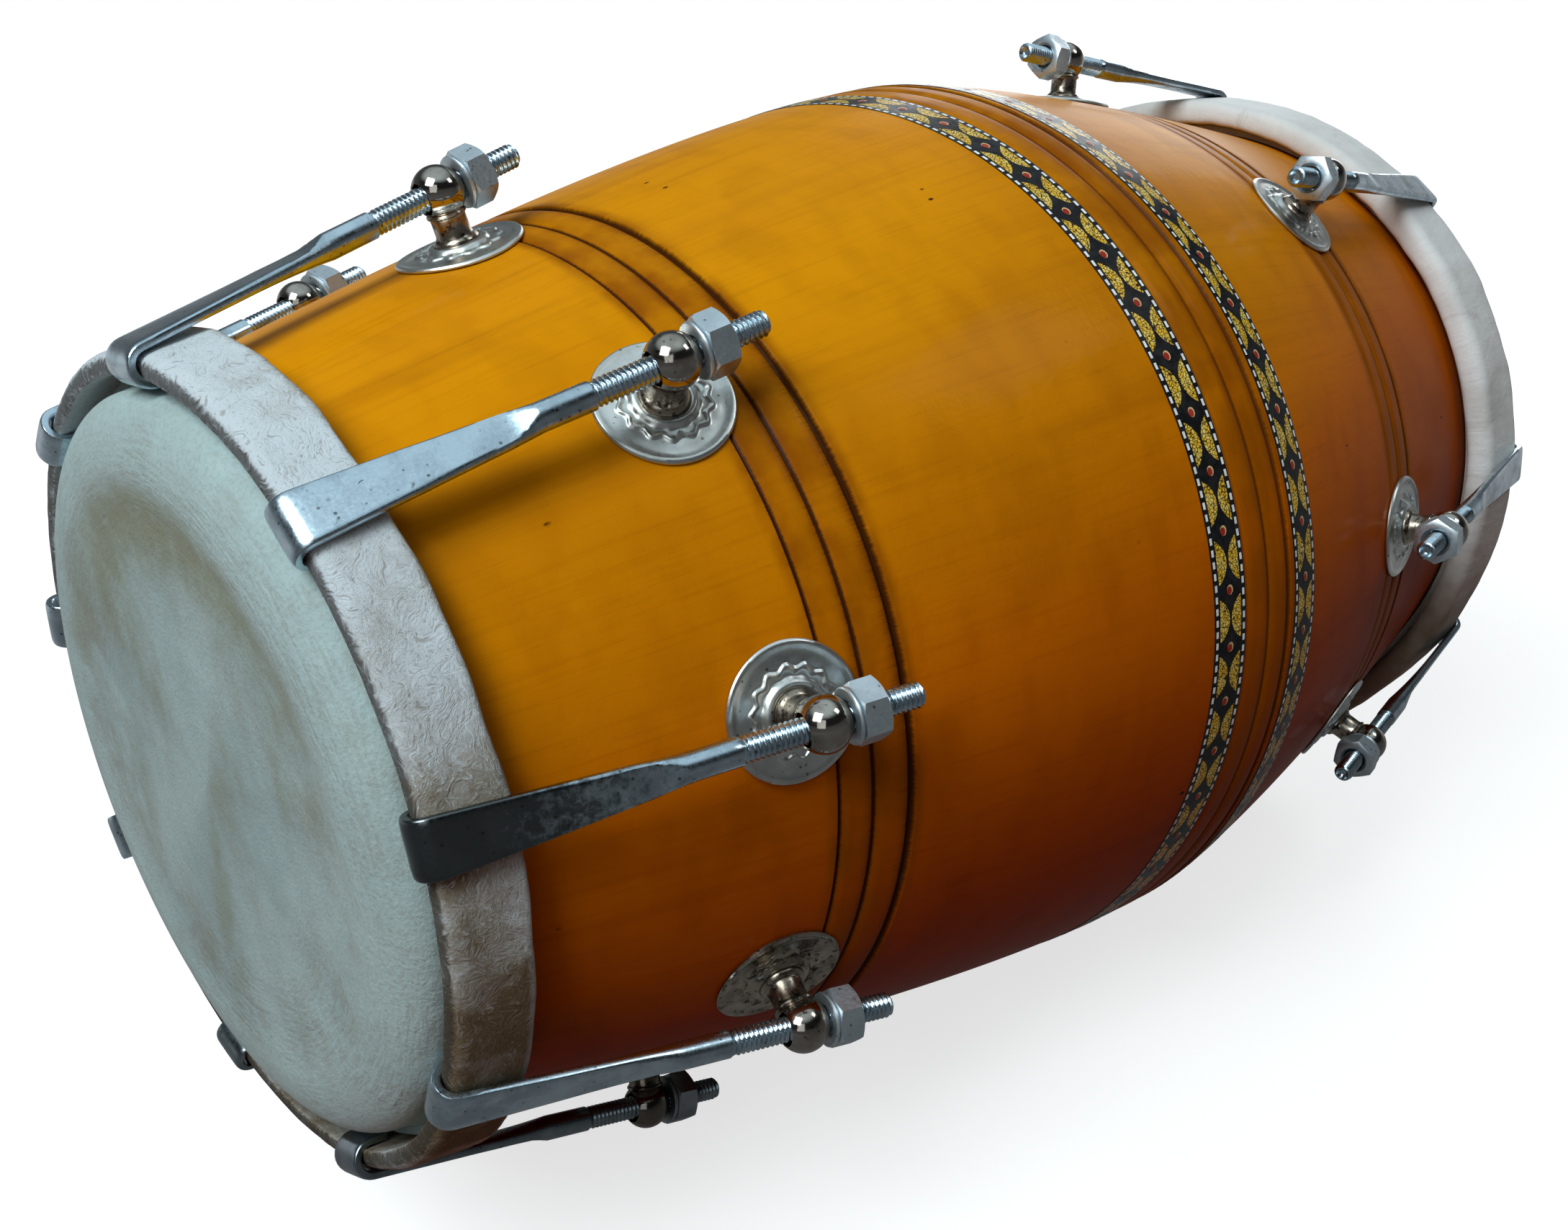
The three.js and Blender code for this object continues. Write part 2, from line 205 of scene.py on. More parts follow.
@dataclass(frozen=True)
class EndFit:
    """Sizes of one end: its hoop, hooks, eye posts and skin."""

    end: End
    hoop_width: float
    hoop_thickness: float
    hoop_setback: float
    hoop_flare: float
    lug_place: float
    lug_angles: tuple[float, ...]
    valley: float = 1.8
    travel: float = 2.0
    blade: float = 2.4
    hook_clearance: float = 0.42
    tongue: float = 4.0
    ball_height: float = 14.6
    skin: float = 1.3
    skin_gap: float = 0.3
    ring_gap: float = 0.4
    ring_length: float = 7.0

    @property
    def nose(self) -> Pair:
        """Middle of the hoop's round front edge, as (distance from the rim, radius)."""
        half = self.hoop_thickness / 2
        x = self.hoop_setback + half
        out = self.skin_gap + self.skin + self.valley + self.blade + self.hook_clearance + half
        return x, BARREL.radius(self.end, x) + out

    @property
    def bend_radius(self) -> float:
        """Radius of the middle of the strap where it bends round the hoop."""
        return self.hoop_thickness / 2 + self.hook_clearance + self.blade / 2

    @property
    def ring_start(self) -> float:
        """Distance from the rim to the front of the flesh ring."""
        drop = (self.bend_radius + self.blade / 2) * math.sin(self.hoop_flare)
        end = self.nose[0] + drop + self.tongue * math.cos(self.hoop_flare)
        return end + self.travel + self.ring_gap

    @property
    def ring_radius(self) -> float:
        """Outside radius of the skin lapped round the flesh ring."""
        half = self.hoop_thickness / 2
        rise = (self.ring_start - self.travel - self.nose[0]) * math.tan(self.hoop_flare)
        return self.nose[1] - half / math.cos(self.hoop_flare) + rise - self.ring_gap

    @property
    def slope(self) -> float:
        """Angle of the wood under the eye posts."""
        return BARREL.slope(self.end, self.lug_place)

    @property
    def lug_radius(self) -> float:
        """Radius of the wood under the eye posts."""
        return BARREL.radius(self.end, self.lug_place)

    @property
    def ball(self) -> Pair:
        """Centre of a post's ball, as (distance from the rim, radius)."""
        lift, slope = self.ball_height, self.slope
        return self.lug_place - lift * math.sin(slope), self.lug_radius + lift * math.cos(slope)

    @property
    def rod_angle(self) -> float:
        """Angle of a rod to the drum's axis."""
        dx, dy = self.ball[0] - self.nose[0], self.ball[1] - self.nose[1]
        return math.atan2(dy, dx) - math.asin(self.bend_radius / math.hypot(dx, dy))

    def matrix(self) -> Array:
        """Matrix from this end's own frame, X from the rim to the belly, to the drum's."""
        if self.end is End.TREBLE:
            return np.eye(4)
        return shift(BARREL.length, 0, 0) @ turned("Z", math.pi)

    def lug_matrix(self, number: int) -> Array:
        """Matrix from a lug's frame, X inward and Z outward, to the drum's.

        Args:
            number: The lug's number, with 1 on top.

        Returns:
            A 4 by 4 matrix in millimetres.
        """
        sign = 1 if self.end is End.TREBLE else -1
        return self.matrix() @ turned("X", sign * math.radians(self.lug_angles[number - 1]))


TREBLE_LUGS = (0, 42, 80, 118, 160, 200, 242, 280, 318)
BASS_LUGS = (0, 42, 88, 120, 160, 200, 240, 272, 318)
TREBLE_FIT = EndFit(End.TREBLE, 18.5, 5.3, 3.5, math.pi / 16, 88.0, TREBLE_LUGS)
BASS_FIT = EndFit(End.BASS, 27.0, 9.0, 6.0, 0.0, 107.0, BASS_LUGS)


class Form:
    """Points and faces of one piece, gathered before its mesh is made."""

    def __init__(self) -> None:
        """Starts an empty form."""
        self.points: list[Array] = []
        self.faces: list[Array] = []
        self.marks: list[Array] = []
        self.count = 0

    def grid(self, rows: Array, around: bool = True, along: bool = False, mark: int = 0) -> "Form":
        """Adds a sheet of four-sided faces through rows of points.

        Args:
            rows: Points as an array of (row, column, 3).
            around: Whether the last column joins the first.
            along: Whether the last row joins the first.
            mark: Number of the faces' material slot.

        Returns:
            The form itself.
        """
        count, width = rows.shape[:2]
        cells = np.arange(count * width).reshape(count, width) + self.count
        if around:
            cells = np.hstack([cells, cells[:, :1]])
        if along:
            cells = np.vstack([cells, cells[:1]])
        quads = np.stack([cells[:-1, :-1], cells[:-1, 1:], cells[1:, 1:], cells[1:, :-1]], -1)
        self._add(rows.reshape(-1, 3), quads.reshape(-1, 4), mark)
        return self

    def fan(self, rim: Array, centre: Centre = None) -> "Form":
        """Closes a ring of points with triangles to a centre, or to the ring's own middle."""
        count = len(rim)
        edge = np.arange(count) + self.count
        hub = np.full(count, self.count + count)
        triangles = np.stack([edge, np.roll(edge, -1), hub, hub], -1)
        self._add(np.vstack([rim, rim.mean(0) if centre is None else centre]), triangles, 0)
        return self

    def capped(self, rows: Array, first: Centre = None, last: Centre = None) -> "Form":
        """Adds a sheet round an axis and closes both of its ends.

        Args:
            rows: Points as an array of (row, column, 3).
            first: Centre that closes the first row, if not its own middle.
            last: Centre that closes the last row, if not its own middle.

        Returns:
            The form itself.
        """
        return self.grid(rows).fan(rows[0][::-1], first).fan(rows[-1], last)

    def _add(self, points: Array, faces: Array, mark: int) -> None:
        """Keeps points and faces, whose numbers already count from the form's start."""
        self.points.append(points)
        self.faces.append(faces)
        self.marks.append(np.full(len(faces), mark))
        self.count += len(points)

    def moved(self, matrix: Array) -> "Form":
        """A copy of the form, moved by a matrix."""
        copy = Form()
        copy.points = [p @ matrix[:3, :3].T + matrix[:3, 3] for p in self.points]
        copy.faces, copy.marks, copy.count = list(self.faces), list(self.marks), self.count
        return copy

    def join(self, other: "Form") -> "Form":
        """Adds another form's points and faces."""
        self.points += other.points
        self.faces += [faces + self.count for faces in other.faces]
        self.marks += other.marks
        self.count += other.count
        return self

    def make(self, name: str, crease: float = 35.0) -> bpy.types.Object:
        """Makes the object, in the frame's metres, with smooth shading between its creases.

        Args:
            name: Name of the object.
            crease: Angle in degrees above which an edge stays sharp.

        Returns:
            The linked object.
        """
        points = np.vstack(self.points) @ DRUM_PLACE[:3, :3].T + DRUM_PLACE[:3, 3]
        faces = [f[:3] if f[2] == f[3] else f for f in np.vstack(self.faces).tolist()]
        mesh = bpy.data.meshes.new(name)
        mesh.from_pydata(points.tolist(), [], faces)
        mesh.polygons.foreach_set("use_smooth", np.ones(len(faces), bool))
        mesh.polygons.foreach_set("material_index", np.concatenate(self.marks).astype(np.int32))
        mesh.set_sharp_from_angle(angle=math.radians(crease))
        mesh.validate()
        return added(name, mesh)


def lathe_x(outline: Sequence[Pair], sides: int) -> Array:
    """Rows of points where an outline is turned about the X axis.

    Args:
        outline: Points as (distance along X, radius).
        sides: Count of points round the axis.

    Returns:
        An array of (row, column, 3) in which column 0 is on top.
    """
    x, radius = np.array(outline, float).T
    return ring(radius[:, None], x[:, None], round_turn(sides))[..., ::-1] * (1, -1, 1)


def lathe_z(outline: Sequence[Pair], sides: int) -> Array:
    """Rows of points where an outline of (radius, height) is turned about the Z axis."""
    radius, height = np.array(outline, float).T
    return ring(radius[:, None], height[:, None], round_turn(sides))


def rounded(corners: Sequence[Pair], radii: Sequence[float], steps: int) -> list[Pair]:
    """A closed outline whose corners are rounded by arcs.

    Args:
        corners: The corners in order.
        radii: How far each corner's round reaches along its two sides.
        steps: Count of steps in each round.

    Returns:
        Points of the outline.
    """
    outline = []
    count = len(corners)
    for index, (corner, reach) in enumerate(zip(corners, radii)):
        here = np.array(corner, float)
        before = np.array(corners[index - 1], float) - here
        after = np.array(corners[(index + 1) % count], float) - here
        start = here + before / np.linalg.norm(before) * reach
        stop = here + after / np.linalg.norm(after) * reach
        for step in range(steps + 1):
            t = step / steps
            point = (1 - t) ** 2 * start + 2 * t * (1 - t) * here + t**2 * stop
            outline.append((float(point[0]), float(point[1])))
    return outline


def spaced(outline: Sequence[Pair], pitch: float) -> list[Pair]:
    """A closed outline with points added so that none are further apart than a pitch."""
    result = []
    for index, point in enumerate(outline):
        here, there = np.array(point), np.array(outline[(index + 1) % len(outline)])
        parts = max(1, math.ceil(np.linalg.norm(there - here) / pitch))
        result += [tuple(here + (there - here) * part / parts) for part in range(parts)]
    return result


def roughened(
    rows: Array, height: float, scale: float, stretch: Sequence[float], seed: float
) -> Array:
    """Moves points of a ring about the X axis in and out by smooth noise.

    Args:
        rows: Points as (row, column, 3).
        height: Greatest move in millimetres.
        scale: Size of the lumps in millimetres.
        stretch: Factors by which the lumps are longer along X, Y and Z.
        seed: Shift of the noise.

    Returns:
        The moved points.
    """
    flat = rows.reshape(-1, 3)
    radial = flat.copy()
    radial[:, 0] = 0
    radial /= np.maximum(np.linalg.norm(radial, axis=1), 1e-6)[:, None]
    places = flat / scale / np.array(stretch) + seed
    moves = np.array([noise.noise(Vector(place)) for place in places])
    return (flat + radial * (moves * height)[:, None]).reshape(rows.shape)


class Nodes:
    """Short calls that add the nodes of one material or world."""

    def __init__(self, owner: bpy.types.Material | bpy.types.World) -> None:
        """Turns the nodes of a material or world on."""
        owner.use_nodes = True
        self.owner = owner
        self.tree = owner.node_tree
        self.shader = self.tree.nodes.get("Principled BSDF")

    def add(self, kind: str, settings: dict | None = None, **inputs: object) -> bpy.types.Node:
        """Adds a node.

        Args:
            kind: Type of the node, without its ShaderNode prefix.
            settings: Properties of the node.
            **inputs: Values or sockets by the input's name, with _ for a space, or iN for number N.

        Returns:
            The new node.
        """
        node = self.tree.nodes.new("ShaderNode" + kind)
        for key, value in (settings or {}).items():
            setattr(node, key, value)
        for key, value in inputs.items():
            numbered = key[0] == "i" and key[1:].isdigit()
            self.feed(node.inputs[int(key[1:]) if numbered else key.replace("_", " ")], value)
        return node

    def feed(self, target: Socket, value: object) -> None:
        """Links a socket to an input, or sets its value; a colour gets its alpha."""
        if isinstance(value, bpy.types.NodeSocket):
            self.tree.links.new(value, target)
        elif target.type == "RGBA" and len(value) == 3:
            target.default_value = (*value, 1)
        else:
            target.default_value = value

    def set(self, **inputs: object) -> None:
        """Feeds inputs of the Principled shader."""
        for key, value in inputs.items():
            self.feed(self.shader.inputs[key.replace("_", " ")], value)

    def math(self, operation: str, a: object, b: object = 0.0) -> Socket:
        """Result of a Math node."""
        return self.add("Math", {"operation": operation}, i0=a, i1=b).outputs[0]

    def product(self, *values: object) -> Socket:
        """Product of two or more values."""
        return reduce(lambda a, b: self.math("MULTIPLY", a, b), values)

    def total(self, *values: object) -> Socket:
        """Sum of two or more values."""
        return reduce(lambda a, b: self.math("ADD", a, b), values)

    def swing(self, value: Socket, reach: object) -> Socket:
        """A noise moved to lie about zero, and scaled to a reach from end to end."""
        return self.product(self.math("SUBTRACT", value, 0.5), reach)

    def vector(self, operation: str, a: object, b: object = (0, 0, 0)) -> Socket:
        """Vector result of a Vector Math node."""
        return self.add("VectorMath", {"operation": operation}, i0=a, i1=b).outputs[0]

    def length(self, vector: Socket) -> Socket:
        """Length of a vector."""
        return self.add("VectorMath", {"operation": "LENGTH"}, i0=vector).outputs[1]

    def mix(self, share: object, a: object, b: object, blend: str = "MIX") -> Socket:
        """Colour between two, by a share from 0 to 1."""
        settings = {"data_type": "RGBA", "blend_type": blend, "clamp_factor": True}
        return self.add("Mix", settings, i0=share, i6=a, i7=b).outputs[2]

    def choice(self, share: Socket, a: object, b: object) -> Socket:
        """Number between two, by a share from 0 to 1."""
        return self.add("Mix", {"data_type": "FLOAT"}, i0=share, i2=a, i3=b).outputs[0]

    def coats(self, colour: Socket, *coats: tuple[Socket, Colour]) -> Socket:
        """A colour with others laid over it in turn, each by its share."""
        for share, coat in coats:
            colour = self.mix(share, colour, coat)
        return colour

    def spread(
        self, value: Socket, low: object, high: object, to_low: float = 0.0, to_high: float = 1.0
    ) -> Socket:
        """Value moved smoothly from one range to another."""
        smooth = {"interpolation_type": "SMOOTHSTEP"}
        ends = {"i1": low, "i2": high, "i3": to_low, "i4": to_high}
        return self.add("MapRange", smooth, i0=value, **ends).outputs[0]

    def ramp(self, share: Socket, *stops: tuple[float, Colour]) -> Socket:
        """Colour from a ramp of (place, colour) stops."""
        node = self.add("ValToRGB", i0=share)
        elements = node.color_ramp.elements
        while len(elements) < len(stops):
            elements.new(0.5)
        for element, (place, colour) in zip(elements, stops):
            element.position, element.color = place, (*colour, 1)
        return node.outputs[0]

    def noise(self, place: Socket, scale: float, detail: float, roughness: float = 0.5) -> Socket:
        """Value of a noise from 0 to 1, whose cells per metre are its scale."""
        inputs = {"Scale": scale, "Detail": detail, "Roughness": roughness}
        return self.add("TexNoise", Vector=place, **inputs).outputs[0]

    def cells(self, place: Socket, scale: float, feature: str = "F1") -> Socket:
        """Distance to the nearest point of a cell pattern, or to its cells' edges."""
        node = self.add("TexVoronoi", {"feature": feature}, Vector=place, Scale=scale)
        return node.outputs["Distance"]

    def swirled(self, place: Socket, scale: float, reach: float) -> Socket:
        """A place pushed about by a noise, so that straight streaks wander.

        Args:
            place: The point in metres.
            scale: Cells of the noise per metre.
            reach: Greatest push in metres.

        Returns:
            The pushed place.
        """
        bend = self.add("TexNoise", Vector=place, Scale=scale, Detail=2.0).outputs["Color"]
        return self.vector("ADD", self.vector("MULTIPLY", bend, (reach, reach, reach)), place)

    def bumps(self, *layers: tuple[Socket, float, float]) -> Socket:
        """Normal bent by layers of relief, from the lowest up.

        Args:
            *layers: Each a height from 0 to 1, the metres that 1 stands for, and its strength.

        Returns:
            The normal's socket.
        """
        under = {}
        for height, distance, strength in layers:
            relief = {"Height": height, "Distance": distance, "Strength": strength}
            under = {"Normal": self.add("Bump", **relief, **under).outputs[0]}
        return under["Normal"]

    def place(self) -> Socket:
        """The point in the piece's own frame, in metres, with the drum's axis at zero height."""
        here = self.add("TexCoord").outputs["Object"]
        return self.vector("SUBTRACT", here, (RIM_X, 0, AXIS_HEIGHT))

    def parts(self, place: Socket) -> tuple[Socket, Socket, Socket]:
        """The three parts of a vector."""
        outputs = self.add("SeparateXYZ", i0=place).outputs
        return outputs[0], outputs[1], outputs[2]

    def radial(self, place: Socket) -> tuple[Socket, Socket]:
        """Unit vector away from the drum's axis, and the distance from the axis in metres."""
        flat = self.vector("MULTIPLY", place, (0, 1, 1))
        return self.vector("NORMALIZE", flat), self.length(flat)

    def drawn(self, place: Socket, along: float, about: float) -> Socket:
        """A place in cells per metre along the drum's axis and cells per radian about it."""
        run = self.vector("MULTIPLY", place, (along, 0, 0))
        turn = self.vector("MULTIPLY", self.radial(place)[0], (0, about, about))
        return self.vector("ADD", run, turn)

    def figure(
        self, place: Socket, along: float, about: float, detail: float, roughness: float
    ) -> Socket:
        """A noise drawn out along or about the drum's axis, as the figure of turned wood is."""
        return self.noise(self.drawn(place, along, about), 1.0, detail, roughness)

    def rays(self) -> tuple[Socket, Socket]:
        """Whether a ray is the camera's own, and whether it is a mirror's or has passed through."""
        path = self.add("LightPath").outputs
        mirrored = self.math("MAXIMUM", path["Is Glossy Ray"], path["Is Transmission Ray"])
        return path["Is Camera Ray"], mirrored


class Finish:
    """Base of the finishes: it makes its material once, when a piece first wears it."""

    name = "finish"

    def material(self) -> bpy.types.Material:
        """The material of this finish."""
        made = bpy.data.materials.get(self.name)
        if made is None:
            made = bpy.data.materials.new(self.name)
            self.mix(Nodes(made))
        return made

    def mix(self, nodes: Nodes) -> None:
        """Builds the nodes; each finish has its own."""
        raise NotImplementedError


@dataclass(frozen=True)
class Stain:
    """How far brown follows one figure of the wood."""

    along: float
    about: float
    detail: float
    roughness: float
    low: float
    high: float
    share: float


WOOD_FIGURE = {
    "bands": Stain(4, 9, 4, 0.55, 0.50, 0.78, 0.32),
    "streaks": Stain(24, 75, 4, 0.6, 0.48, 0.78, 0.18),
    "curl": Stain(75, 5, 2, 0.5, 0.42, 0.70, 0.18),
    "pores": Stain(170, 420, 2, 0.5, 0.60, 0.76, 0.20),
}


@dataclass(frozen=True)
class Lacquer(Finish):
    """Amber lacquer over lightly figured wood, with darker stain in the turned grooves and painted
    shade towards the floor and the bass.
    """

    light: Colour = (0.72, 0.275, 0.0008)
    amber: Colour = (0.58, 0.200, 0.0006)
    brown: Colour = (0.25, 0.062, 0.0005)
    burnt: Colour = (0.13, 0.028, 0.002)
    stain: Colour = (0.040, 0.009, 0.001)
    # Tints of the painted shade, from none to the deepest towards the floor and the bass.
    unshaded: Colour = (1.0, 1.0, 1.0)
    painted_shade_mid: Colour = (0.89, 0.56, 0.52)
    painted_shade_deep: Colour = (0.55, 0.19, 0.18)
    lines: tuple[tuple[float, float, float, float], ...] = ()
    mouldings: tuple[Pair, ...] = ((97.3, 116.6), (229.0, 248.2), (328.3, 348.3))
    name: str = "amber_lacquered_wood"

    def grain(self, nodes: Nodes, place: Socket) -> Socket:
        """Colour of the wood under its lacquer, with painted shade that darkens and reddens it
        towards the floor and the bass.

        Args:
            nodes: The material's nodes.
            place: The point in metres.

        Returns:
            The colour's socket.
        """
        wide = nodes.figure(place, 7, 1.6, 3, 0.5)
        colour = nodes.mix(nodes.spread(wide, 0.32, 0.68), self.light, self.amber)
        for s in WOOD_FIGURE.values():
            pattern = nodes.figure(place, s.along, s.about, s.detail, s.roughness)
            colour = nodes.mix(nodes.spread(pattern, s.low, s.high, 0, s.share), colour, self.brown)
        fleck = nodes.spread(nodes.cells(nodes.drawn(place, 70, 16), 1.0), 0.045, 0.085, 1, 0)
        rare = nodes.spread(nodes.noise(place, 38, 1), 0.60, 0.64)
        colour = nodes.mix(nodes.product(fleck, rare), colour, self.stain)
        # Painted shade: darker and redder towards the floor and towards the bass end, where less
        # light falls.
        x, _, z = nodes.parts(place)
        height = nodes.math("SUBTRACT", z, nodes.product(x, 0.2))
        shade = nodes.spread(nodes.total(height, nodes.swing(wide, 0.05)), -0.10, 0.075)
        painted_shade_tint = nodes.ramp(shade, (0.0, self.painted_shade_deep), (0.55, self.painted_shade_mid), (1.0, self.unshaded))
        return nodes.mix(1.0, colour, painted_shade_tint, "MULTIPLY")

    def mix(self, nodes: Nodes) -> None:
        """Builds the grain, the stained mouldings and grooves, and the gloss."""
        place = nodes.place()
        x = nodes.product(nodes.parts(place)[0], 1000.0)
        colour = self.grain(nodes, place)
        cloudy = nodes.figure(place, 60, 6, 3, 0.6)
        hairy = nodes.figure(place, 130, 230, 3, 0.65)
        for start, stop in self.mouldings:
            behind = nodes.spread(x, start - 1.0, start + 0.5)
            before = nodes.spread(x, stop + 1.0, stop - 0.5)
            uneven = nodes.spread(cloudy, 0.3, 0.7, 0.26, 0.74)
            colour = nodes.mix(nodes.product(behind, before, uneven), colour, self.brown)
        for line, width, feather, strength in self.lines:
            back = nodes.math("SUBTRACT", line, x)
            off = nodes.math("ABSOLUTE", back)
            fade = nodes.spread(off, 0.5, 4.6, 0.85, 0)
            run_off = nodes.product(fade, nodes.spread(cloudy, 0.30, 0.62, 0.25, 1))
            edge = nodes.product(nodes.spread(hairy, 0.3, 0.7, 0.85, 1.15), width)
            core = nodes.spread(off, nodes.product(edge, 0.4), edge, strength, 0.0)
            reach = nodes.spread(hairy, 0.38, 0.72, width, width + feather)
            burnt = nodes.spread(back, 0.0, reach, 0.75 * strength, 0.0)
            burnt = nodes.product(burnt, nodes.spread(back, -width * 0.9, 0.0), 0.8)
            colour = nodes.coats(
                colour, (run_off, self.brown), (burnt, self.burnt), (core, self.stain)
            )
        waves = nodes.noise(place, 55, 2, 0.5)
        rings = nodes.figure(place, 800, 1, 2, 0.6)
        peel = nodes.noise(place, 560, 2, 0.5)
        normal = nodes.bumps((waves, 0.0005, 0.5), (rings, 0.00008, 0.5), (peel, 0.0001, 0.6))
        nodes.set(Base_Color=colour, Roughness=0.42, Specular_IOR_Level=0.02, Normal=normal)
        nodes.set(Coat_Normal=normal, Coat_Weight=0.065, Coat_Roughness=0.08, Coat_IOR=1.3)


@dataclass(frozen=True)
class Hide(Finish):
    """Scraped hide of a drum skin: matt, faintly mottled, with fine pleats over the rim."""

    pale: Colour = (0.43, 0.545, 0.540)
    grey: Colour = (0.33, 0.44, 0.445)
    beige: Colour = (0.25, 0.235, 0.18)
    olive: Colour = (0.235, 0.25, 0.175)
    rim: float = 0.0815
    name: str = "treble_head_hide"

    def mix(self, nodes: Nodes) -> None:
        """Builds the mottling, the smudges inside the rim, painted shade in the valley, along the
        folds and on the upper side, the nap and the ripples.
        """
        place = nodes.place()
        out, radius = nodes.radial(place)
        clouds = nodes.noise(place, 20, 5, 0.6)
        blots = nodes.noise(place, 55, 5, 0.68)
        nap = nodes.noise(place, 1000, 3, 0.65)
        folds = nodes.noise(nodes.vector("MULTIPLY", place, (0, 38, 17)), 1.0, 3, 0.55)
        share = nodes.math("DIVIDE", radius, self.rim)
        shoulder = nodes.spread(share, 0.78, 0.95)
        inner = nodes.spread(share, 0.92, 0.74)
        valley = nodes.product(nodes.spread(share, 0.5, 0.80), nodes.spread(share, 0.97, 0.84))
        dirt = nodes.product(
            nodes.spread(blots, 0.40, 0.66), nodes.spread(clouds, 0.3, 0.6, 0.25, 1)
        )
        # Painted shade: the beige blotches lie heavier in the valley inside the shoulder, where
        # shade falls.
        zone = nodes.total(nodes.product(valley, 0.48), 0.16)
        # Olive smudges along the folds: partly stains, partly painted shade of the folds.
        smudge_and_fold_shade = nodes.product(
            nodes.spread(folds, 0.46, 0.66), nodes.spread(blots, 0.30, 0.62, 0.3, 1), inner, 0.55
        )
        # Painted shade: olive darkening in the valley on the upper side of the head.
        high = nodes.spread(nodes.parts(place)[2], 0.005, 0.065)
        upper = nodes.product(high, valley, nodes.spread(blots, 0.28, 0.60, 0.45, 1.0))
        depth = nodes.vector("MULTIPLY", nodes.add("CombineXYZ", i0=radius).outputs[0], (850, 0, 0))
        across = (nodes.vector("MULTIPLY", out, (0, about, about)) for about in (11, 60))
        few, many = (nodes.vector("ADD", depth, turn) for turn in across)
        fine, pleat = nodes.noise(few, 1.0, 2), nodes.noise(many, 0.5, 2)
        patchy = nodes.spread(nodes.noise(place, 30, 2), 0.35, 0.6, 0.25, 1)
        ripple = nodes.product(nodes.spread(share, 0.35, 0.75, 0.15, 1), patchy)
        colour = nodes.coats(
            nodes.mix(nodes.spread(clouds, 0.34, 0.66), self.pale, self.grey),
            (nodes.product(shoulder, 0.55), self.pale),
            (nodes.product(dirt, zone), self.beige),
            (smudge_and_fold_shade, self.olive),
            (upper, self.olive),
            (nodes.spread(nap, 0.42, 0.75, 0, 0.34), self.beige),
            (nodes.product(nodes.spread(fine, 0.52, 0.36, 0, 0.22), ripple), self.beige),
        )
        normal = nodes.bumps(
            (nodes.product(fine, ripple), 0.00055, 0.6),
            (nodes.product(pleat, shoulder), 0.0005, 0.3),
            (nodes.product(folds, inner), 0.0036, 0.8),
            (blots, 0.0010, 0.5),
            (nap, 0.00026, 0.9),
        )
        nodes.set(Base_Color=colour, Roughness=0.68, Normal=normal, Specular_IOR_Level=0.25)
        nodes.set(Sheen_Weight=0.08, Sheen_Roughness=0.5)


@dataclass(frozen=True)
class Rawhide(Finish):
    """Fibrous hide of a hoop: whitened in places, brown and hairy in others."""

    white: Colour = (0.575, 0.63, 0.66)
    grey: Colour = (0.34, 0.325, 0.29)
    brown: Colour = (0.16, 0.115, 0.065)
    shadow: Colour = (0.035, 0.030, 0.025)
    front: float = 0.0045
    rear: float = 0.0225
    name: str = "treble_hoop_rawhide"

    def mix(self, nodes: Nodes) -> None:
        """Builds the fibres, the brown patches, the darker rear edge, the painted shadow along the
        front edge and the pitted skin.
        """
        place = nodes.place()
        x, _, z = nodes.parts(place)
        swirl = nodes.swirled(place, 90.0, 0.022)
        hairs = nodes.noise(nodes.vector("MULTIPLY", swirl, (1500, 330, 330)), 1.0, 2, 0.6)
        strands = nodes.noise(nodes.vector("MULTIPLY", swirl, (420, 1300, 1300)), 1.0, 2, 0.6)
        fuzz = nodes.noise(place, 1300, 4, 0.75)
        patches = nodes.noise(place, 30, 5, 0.62)
        low = nodes.spread(z, 0.065, -0.045)
        strong = nodes.swing(patches, nodes.spread(low, 0.0, 0.6, 0.9, 1.5))
        # Darker and browner near the rear edge; the hide also browns towards the bottom.
        darker_rear_edge = nodes.spread(x, self.rear - 0.0040, self.rear, 0, 0.24)
        tone = nodes.total(
            nodes.total(nodes.product(low, 0.34), nodes.total(strong, 0.475)),
            nodes.spread(z, 0.025, -0.04, 0, 0.15),
            nodes.spread(z, -0.045, -0.085, 0, -0.16),
            nodes.swing(fuzz, 0.30),
            nodes.product(darker_rear_edge, nodes.math("SUBTRACT", 1.0, low)),
        )
        bare = nodes.math("SUBTRACT", 1.0, nodes.product(low, 0.8))
        worn = nodes.spread(x, self.rear - 0.0036, self.rear - 0.0018, 0, 0.6)
        ragged = nodes.total(x, nodes.swing(hairs, 0.0012))
        colour = nodes.coats(
            nodes.ramp(tone, (0.48, self.white), (0.67, self.grey), (0.86, self.brown)),
            (nodes.product(nodes.spread(hairs, 0.57, 0.67, 0, 0.85), bare), self.white),
            (nodes.product(nodes.spread(strands, 0.60, 0.70, 0, 0.60), bare), self.white),
            (nodes.spread(hairs, 0.42, 0.30, 0, 0.45), self.brown),
            (nodes.spread(fuzz, 0.44, 0.30, 0, 0.55), self.brown),
            (nodes.product(worn, low), self.white),
            (nodes.spread(ragged, self.front - 0.0001, self.front - 0.0007, 0, 0.8), self.shadow),
        )
        normal = nodes.bumps(
            (patches, 0.0016, 0.5),
            (hairs, 0.0004, 0.7),
            (strands, 0.0003, 0.6),
            (fuzz, 0.0002, 0.7),
        )
        nodes.set(Base_Color=colour, Roughness=0.9, Normal=normal, Specular_IOR_Level=0.2)


